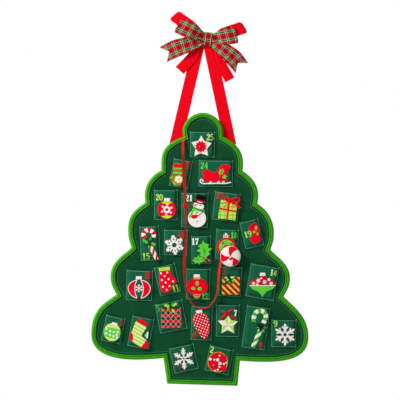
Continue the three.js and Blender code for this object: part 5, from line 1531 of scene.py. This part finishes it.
# Pen strokes of bold serif digits in a box 60 wide and 100 tall: across, up and stroke width at each point
digitStrokes = {
    "0": [[(30, 95, 10), (12, 75, 19), (9, 50, 23), (12, 25, 19), (30, 5, 10), (48, 25, 19), (51, 50, 23),
          (48, 75, 19), (30, 95, 10)]],
    "1": [[(33, 2, 23), (33, 97, 23)], [(12, 5, 9), (54, 5, 9)], [(12, 80, 7), (30, 93, 12)]],
    "2": [[(12, 70, 17), (16, 86, 12), (31, 95, 10), (47, 78, 20), (42, 54, 20), (20, 26, 12), (8, 10, 10)],
          [(5, 9, 17), (55, 9, 17)], [(54, 10, 7), (56, 28, 6)]],
    "3": [[(10, 78, 16), (26, 95, 10), (46, 77, 20), (38, 56, 13), (22, 52, 9)], [(22, 52, 9), (44, 44, 16),
          (49, 24, 22), (30, 5, 10), (10, 18, 16)]],
    "4": [[(41, 2, 21), (41, 97, 21)], [(38, 95, 8), (6, 34, 8)], [(3, 30, 11), (58, 30, 11)], [(26, 4, 7),
          (56, 4, 7)]],
    "5": [[(13, 89, 18), (52, 89, 18)], [(12, 92, 7), (11, 54, 7)], [(11, 54, 8), (30, 61, 11), (49, 42, 20),
          (47, 20, 20), (28, 5, 10), (10, 17, 16)]],
    "6": [[(48, 80, 14), (34, 95, 9), (15, 72, 18), (10, 40, 22), (16, 15, 17), (32, 5, 9), (49, 20, 17),
          (49, 40, 18), (33, 56, 9), (16, 40, 9)]],
    "7": [[(6, 88, 20), (55, 88, 20)], [(52, 84, 10), (34, 50, 18), (24, 3, 24)], [(8, 90, 6), (7, 66, 6)]],
    "8": [[(30, 95, 10), (14, 76, 17), (30, 54, 11), (46, 76, 17), (30, 95, 10)], [(30, 54, 11), (10, 29, 20),
          (30, 5, 10), (50, 29, 20), (30, 54, 11)]],
}
digitStrokes["9"] = [[(60 - a, 100 - b, wide) for a, b, wide in stroke] for stroke in digitStrokes["6"]]


def onPocket(day, across, up, above):
    # A point of the pocket's face, which stands off more in its middle than at its seams
    middleAcross, middleDown, _, _, tilt = pockets[day]
    local = turned([(across - middleAcross, up + middleDown)], -tilt)[0]
    return at(across, -up, pocketBack(day, *local) + cut["thick"] + above)


def penStroke(day, stroke, place):
    # Flat stroke whose width changes along it and whose face follows the pocket
    line = smoothPath([(a / 100, b / 100, wide / 100) for a, b, wide in stroke], 0.07)
    columns = 4
    verts, uvs = [], []
    for i, point in enumerate(line):
        along = (line[min(len(line) - 1, i + 1)] - line[max(0, i - 1)]).to_2d().normalized()
        for share in sharesAcross(columns):
            spot = (point.x - along.y * share * point.z, point.y + along.x * share * point.z)
            for above in (digitSize["thick"] * (0.75 if abs(share) == 0.5 else 1), -digitSize["sunk"]):
                verts.append(place(*spot, above))
                uvs.append((spot[0] * 10, spot[1] * 10))
    return verts, stripFaces(len(line), columns), numeralInks[numerals[day][0]], uvs


def makeNumeral(day):
    _, x, y = numerals[day]
    middle = fromPhoto(x, y)
    digits = str(day)
    parts = []
    for n, digit in enumerate(digits):
        left = (n - len(digits) / 2) * digitSize["advance"]

        def place(a, b, above, left=left):
            flat = turned([((left + a) * digitSize["wide"], (b - 0.5) * digitSize["tall"])], pockets[day][4], *middle)
            return onPocket(day, *flat[0], above)

        parts += [penStroke(day, stroke, place) for stroke in digitStrokes[digit]]
    piece = makePiece("numeral_%02d" % day, parts)
    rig.slot(piece, "white_felt")
    return piece


numeralPieces = {day: makeNumeral(day) for day in numerals}
print("numerals made")

for day, piece in pocketPieces.items():
    wide, tall = pockets[day][2:4]
    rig.sheet(piece, flat=(wide * mm, tall * mm), held="hung", rests_on=["front_panel_felt"],
             with_pieces=[motifPieces[day], numeralPieces[day]])

# Hanging ribbon: an upside-down V of one inch grosgrain, sewn to the back of the tree
hanger = {"wide": 25.4, "thick": 0.3, "foot": {"left": (-61.2, 205), "right": (56.4, 205)}, "topUp": 14, "lap": 0.15,
          "box": {"wide": 0.8, "from": 4, "to": 26}}


def ribbonCells(stations, columns, pleat=None):
    # Stations are (middle, across direction, width); pleat lifts each point off the ribbon's face
    cells, travelled = [], 0.0
    for i, (middle, across, wide) in enumerate(stations):
        travelled += (middle - stations[i - 1][0]).length / mm if i else 0
        row = []
        for v in sharesAcross(columns):
            point = middle + across * v * wide * mm
            if pleat:
                point = point + pleat(i / (len(stations) - 1), v)
            row.append((point, (travelled, v * wide)))
        cells.append(row)
    return cells


def makeHanger():
    parts, lines, length = [], [], 0
    for side in ("left", "right"):
        foot = hanger["foot"][side]
        sign = math.copysign(1, foot[0])
        lean = math.atan2(abs(foot[0]) - hanger["wide"] / 2, foot[1])
        beside = sign * hanger["wide"] / 2 / math.cos(lean)
        slope = (foot[0] - beside) / foot[1]
        steps, rows = 44, []
        for i in range(steps + 1):
            down = mix(-hanger["topUp"], foot[1], i / steps)
            # The straps lap at the top
            lap = hanger["lap"] * sign * (1 - smooth(-5, 40, down))
            rows.append(at(beside + slope * down, down, lap))
        along = (rows[-1] - rows[0]).normalized()
        across = Vector((-along.z, 0, along.x))
        cells = ribbonCells([(middle, across, hanger["wide"]) for middle in rows], 10)
        parts.append(ribbonPart(cells, hanger["thick"], redGrosgrain))
        length += (rows[-1] - rows[0]).length
        # A sewn box with a cross holds each foot to the back panel
        low, high = (rows[-1] - along * hanger["box"][end] * mm for end in ("from", "to"))
        corners = [spot + across * s * hanger["wide"] * hanger["box"]["wide"] / 2 * mm + Vector((0, 0.2 * mm, 0))
                   for spot, s in ((low, -1), (low, 1), (high, 1), (high, -1))]
        box = [corners[i % 4].lerp(corners[(i + 1) % 4], t / 6) for i in range(4) for t in range(6)] + [corners[0]]
        cross = [[corners[a].lerp(corners[b], t / 8) for t in range(9)] for a, b in ((0, 2), (1, 3))]
        lines += [box, *cross]
    piece = makePiece("hanging_ribbon", parts)
    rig.replaces(piece, "hanger_ribbon")
    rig.slot(piece, "red_ribbon")
    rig.sheet(piece, flat=(hanger["wide"] * mm, length), held="hung", rests_on=["back_panel_felt", "bow_band_ribbon"],
             area=hanger["wide"] * mm * length)
    sewLines("hanger_stitches", lines, redThread, sizes={**seam, "radius": 0.3})


makeHanger()

# Bow: a plain ribbon behind, a plaid ribbon in front and a band round both
bow = {
    "across": 8.5, "up": 20.1, "waistTall": 13, "waistThick": 2.6, "thick": 0.5, "riseStart": 11, "riseEnd": 40,
    "flareStart": 6, "flareEnd": 0.6, "plainWaist": 1.9, "plaidWaist": 4.8,
    "plain": {"pleat": 0.9, "rise": (6.5, 0), "loops": [(144.6, 88.5, 26.5, -13), (18.4, 81.5, 26.5, 13)], "tails": [
        [(-3.5, 19, 0, 10), (-13, 8, 0, 15), (-23.3, -13.8, 0, 21), (-51.7, -45.9, -0.6, 23)],
        [(19, 15.1, 0, 12), (24.5, 3.1, 0, 16), (31, -20.1, 0, 21), (55, -66, -0.6, 22)]]},
    "plaid": {"pleat": 2.1, "rise": (10.5, 7), "loops": [(155, 70, 35, -8), (8.6, 61, 37, 10)], "tails": [
        [(-2, 18.3, 0, 13), (-14, 14, 3, 22), (-36.5, 7.2, 7, 34), (-60.5, -0.5, 6, 37), (-86.5, -12.9, 3, 35)],
        [(19, 17, 0, 13), (26, 9, 3, 22), (48, -8, 7, 34), (63.5, -21, 6, 37), (80.5, -41.5, 3, 34)]]},
    "gathers": 17, "gatherReach": 0.75, "hollow": 0.54, "backShare": 0.4, "roundEnd": 4.0,
    "vDepth": 14, "tailWaves": 13, "tailWave": 0.7, "tailCurl": 0.84,
    "band": {"wide": 18.6, "tall": 29.6, "turn": 8, "back": 0.6, "front": 8.7, "corner": 3.0, "thick": 0.6,
             "pinch": 0.16, "fold": 0.45, "folds": 19},
}


def bowLoop(loop, waist, rises, seed, depth):
    turn, long, wide, skew = loop
    direction = math.radians(turn)
    along = Vector((math.cos(direction), 0, math.sin(direction)))
    front = waist + bow["waistThick"] - 0.3
    back = waist + 0.3
    frontRise, backRise = rises
    radius = (front + frontRise - back - backRise) / 2
    reach = long - radius
    lift = lambda distance: smooth(bow["riseStart"], bow["riseEnd"], distance)
    steps, turnSteps = 26, 12
    run = [mix(4, reach, i / steps) for i in range(steps + 1)]
    path = [(d, front + frontRise * lift(d)) for d in run]
    middle = (front + frontRise + back + backRise) / 2
    path += [(reach + radius * math.sin(a), middle + radius * math.cos(a))
             for a in (math.pi * i / turnSteps for i in range(1, turnSteps))]
    path += [(d, back + backRise * lift(d)) for d in reversed(run)]
    stations = []
    for distance, forward in path:
        angle = direction + math.pi / 2 + math.radians(skew) * distance / long
        across = Vector((math.cos(angle), 0, math.sin(angle)))
        width = mix(bow["waistTall"], wide, smooth(bow["flareStart"], long * bow["flareEnd"], distance))
        spot = Vector((bow["across"] * mm, -forward * mm, bow["up"] * mm)) + along * distance * mm
        stations.append((spot, across, width))
    size = len(path)

    def pleat(share, v):
        # Gathers run out from the waist and fade towards the end of the loop
        distance = path[round(share * (size - 1))][0]
        fade = 1 - smooth(6, long * bow["gatherReach"], distance)
        side = 1 if share < 0.5 else -1
        wave = math.sin(v * bow["gathers"] + seed) * depth * fade * smooth(4, 14, distance)
        hollow = -bow["hollow"] * (1 - (2 * v) ** 2) * smooth(20, long, distance) * side
        # The fold at the end is rounder towards the ribbon's edges
        pull = bow["roundEnd"] * abs(2 * v) ** 6 * smooth(reach - 12, reach + radius, distance)
        return Vector((0, -(wave + hollow) * mm * (1 if side > 0 else bow["backShare"]), 0)) - along * pull * mm

    return ribbonCells(stations, 16, pleat)


def bowTail(tail, level, seed, vDepth=0.0):
    points = [Vector((bow["across"], bow["up"], 0)), *[Vector(p[:3]) for p in tail]]
    widths = [tail[0][3], *[p[3] for p in tail]]
    lengths = lengthsAlong(points)
    smoothed = smoothPath(points, 2.2)
    total = lengthsAlong(smoothed)
    count = len(smoothed)
    cells = []
    for i in range(count):
        row = []
        for v in sharesAcross(18):
            # A V cut shortens the middle of the ribbon
            length = total[-1] - vDepth * (1 - abs(2 * v))
            reached = total[i] / total[-1] * length
            j = min(count - 2, int(np.searchsorted(total, reached, side="right")) - 1)
            share = (reached - total[j]) / max(1e-9, total[j + 1] - total[j])
            spot = smoothed[j].lerp(smoothed[j + 1], share)
            a, b = smoothed[max(0, j - 1)], smoothed[min(count - 1, j + 2)]
            across = Vector((-(b - a).y, (b - a).x, 0)).normalized()
            width = float(np.interp(reached / total[-1], lengths / lengths[-1], widths))
            fade = 1 - smooth(0.1, 0.8, reached / total[-1])
            wave = math.sin(v * bow["tailWaves"] + seed) * (0.25 + 0.8 * fade) * smooth(3, 14, reached)
            curl = bow["tailCurl"] * (2 * v) ** 2 * smooth(0.6, 1, reached / total[-1])
            flat = spot + across * v * width
            forward = level + spot.z + wave * bow["tailWave"] - curl
            row.append((Vector((flat.x, -forward, flat.y)) * mm, (reached, v * width)))
        cells.append(row)
    return cells


def bowWaist(waist, material):
    # Three gathered layers of ribbon, which the band holds
    parts = []
    for n, depth in enumerate((0.4, 1.3, 2.2)):
        cells = []
        for x in sharesAcross(8):
            x *= bow["band"]["wide"] * 0.8
            row = []
            for v in sharesAcross(12):
                a, b = turned([(x, v * bow["waistTall"])], bow["band"]["turn"])[0]
                forward = waist + depth + 0.15 * math.sin(v * 18 + n)
                row.append((Vector((bow["across"] + a, -forward, bow["up"] + b)) * mm, (x, v * bow["waistTall"])))
            cells.append(row)
        parts.append(ribbonPart(cells, 0.4, material))
    return parts


def makeBow():
    for name, node, kind, material, slot, waist in (
            ("plain_bow_ribbon", "bow_plain_ribbon", "plain", redGrosgrain, "red_ribbon", bow["plainWaist"]),
            ("plaid_bow_ribbon", "bow_plaid_ribbon", "plaid", plaidRibbon, "plaid_ribbon", bow["plaidWaist"])):
        parts = bowWaist(waist, material)
        area = 0.0
        for n, loop in enumerate(bow[kind]["loops"]):
            cells = bowLoop(loop, waist, bow[kind]["rise"], n * 1.7 + (0.6 if kind == "plaid" else 0),
                            bow[kind]["pleat"])
            parts.append(ribbonPart(cells, bow["thick"], material))
            area += cells[-1][0][1][0] * loop[2]
        for n, tail in enumerate(bow[kind]["tails"]):
            cells = bowTail(tail, waist + 0.6, n * 2.1 + 0.5, bow["vDepth"] if kind == "plaid" else 0)
            parts.append(ribbonPart(cells, bow["thick"], material))
            area += cells[-1][0][1][0] * tail[-1][3]
        piece = makePiece(name, parts, sharp=60)
        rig.replaces(piece, node)
        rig.slot(piece, slot)
        wide = bow[kind]["loops"][0][2] * mm
        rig.sheet(piece, flat=(wide, area * mm * mm / wide), held="folded", rests_on=["hanging_ribbon"],
                 area=area * mm * mm)


def makeBand():
    band = bow["band"]
    deep, tall, corner, thick = band["front"] - band["back"], band["tall"], band["corner"], band["thick"]
    middle = (band["front"] + band["back"]) / 2
    # Closed loop round the waist: rounded corners, with folds that pinch the front
    ring = []
    for cx, cy, start in ((deep / 2 - corner, tall / 2 - corner, 0), (-deep / 2 + corner, tall / 2 - corner, 90),
                          (-deep / 2 + corner, -tall / 2 + corner, 180), (deep / 2 - corner, -tall / 2 + corner, 270)):
        ring += [(cx + corner * math.cos(math.radians(start + a)), cy + corner * math.sin(math.radians(start + a)))
                 for a in (0, 22, 45, 68, 90)]
    ring = [tuple(p[:2]) for p in divided([(a, b, 0) for a, b in ring], 1.6)]
    verts, uvs = [], []
    columns = 20
    for side in (0, 1):
        travelled = 0.0
        for i, (forward, up) in enumerate(ring):
            travelled += math.dist(ring[i - 1], ring[i]) if i else 0
            for v in sharesAcross(columns):
                pinch = 1 - band["pinch"] * (1 - (2 * up / tall) ** 2)
                fold = band["fold"] * math.sin(v * band["folds"] + 0.7)
                fold *= smooth(-0.2, 1.0, forward / (deep / 2)) * (1 - (2 * up / tall) ** 4)
                f = forward * (1 - thick * side / (deep / 2)) + (fold if forward > 0 else 0)
                u = up * (1 - thick * side / (tall / 2))
                a, b = turned([(v * band["wide"] * pinch, u)], band["turn"])[0]
                verts.append(Vector((bow["across"] + a, -(middle + f), bow["up"] + b)) * mm)
                uvs.append((travelled, v * band["wide"]))
    part = (verts, shellFaces(len(ring), columns + 1, closed=True), plaidRibbon, uvs)
    piece = makePiece("bow_band_ribbon", [part], sharp=60)
    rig.replaces(piece, "bow_band")
    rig.slot(piece, "plaid_ribbon")
    length = sum(math.dist(a, b) for a, b in zip(ring, ring[1:] + ring[:1]))
    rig.sheet(piece, flat=(band["wide"] * mm, length * mm), held="folded", rests_on=["plaid_bow_ribbon"])


makeBow()
makeBand()
print("hanger and bow made")

# Studio: pale floor below the tree, white behind it, and soft light from the left
studio = {
    "floor": 1.9, "floorDrop": 0.36, "world": 0.25, "aim": (0, 0, -0.32),
    # Power in watts, size and place in metres
    "lamps": {"key": (42, 0.6, (-1.35, -1.1, 0.7)), "fill": (9, 2.0, (0.3, -2.8, 0.8)),
              "behind": (20, 1.5, (-1.2, 2.4, 0.9))},
}


def makeStudio():
    low, half = cadBox[0][2] - studio["floorDrop"], studio["floor"]
    mesh = bpy.data.meshes.new("floor")
    mesh.from_pydata([(-half, -half, low), (half, -half, low), (half, half * 0.7, low), (-half, half * 0.7, low)], [],
                     [(0, 1, 2, 3)])
    # Painted studio floor: matt, near white
    paint, tree, spot = newMaterial("matt white studio paint", "Generated")
    grain = addNode(tree, "ShaderNodeTexNoise", {"Vector": spot, "Scale": 40.0, "Detail": 2.0})
    shade = addNode(tree, "ShaderNodeMix", {0: grain, 6: linear("#e9e9e7"), 7: linear("#f2f2f0")}, data_type="RGBA")
    shader = addNode(tree, "ShaderNodeBsdfPrincipled", {"Base Color": shade.outputs[2], "Roughness": 0.8})
    addNode(tree, "ShaderNodeOutputMaterial", {"Surface": shader})
    mesh.materials.append(paint)
    floor = addObject("floor", mesh)
    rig.stage(floor)
    for name, (power, size, spot) in studio["lamps"].items():
        light = bpy.data.lights.new(name, "AREA")
        light.energy, light.size = power, size
        lamp = addObject(name, light)
        lamp.location = spot
        lamp.rotation_euler = (Vector(studio["aim"]) - Vector(spot)).to_track_quat("-Z", "Y").to_euler()
    world = bpy.data.worlds.new("studio")
    scene.world = world
    world.use_nodes = True
    tree = world.node_tree
    tree.nodes.clear()
    path = addNode(tree, "ShaderNodeLightPath").outputs
    seen = addNode(tree, "ShaderNodeMath", {0: path["Is Camera Ray"], 1: path["Is Glossy Ray"]}, operation="MAXIMUM")
    seen = addNode(tree, "ShaderNodeMath", {0: seen, 1: path["Is Transmission Ray"]}, operation="MAXIMUM")
    strength = addNode(tree, "ShaderNodeMapRange", {"Value": seen, "To Min": studio["world"], "To Max": 1.0})
    sky = addNode(tree, "ShaderNodeBackground", {"Color": linear("#ffffff"), "Strength": strength})
    addNode(tree, "ShaderNodeOutputWorld", {"Surface": sky})
    scene.view_settings.view_transform = "Standard"


makeStudio()
print("studio made")

bounds = {"cad": [list(corner) for corner in cadBox], "visual": [list(corner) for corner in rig.bounds()]}
with open("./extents.json", "w") as out:
    json.dump(bounds, out)
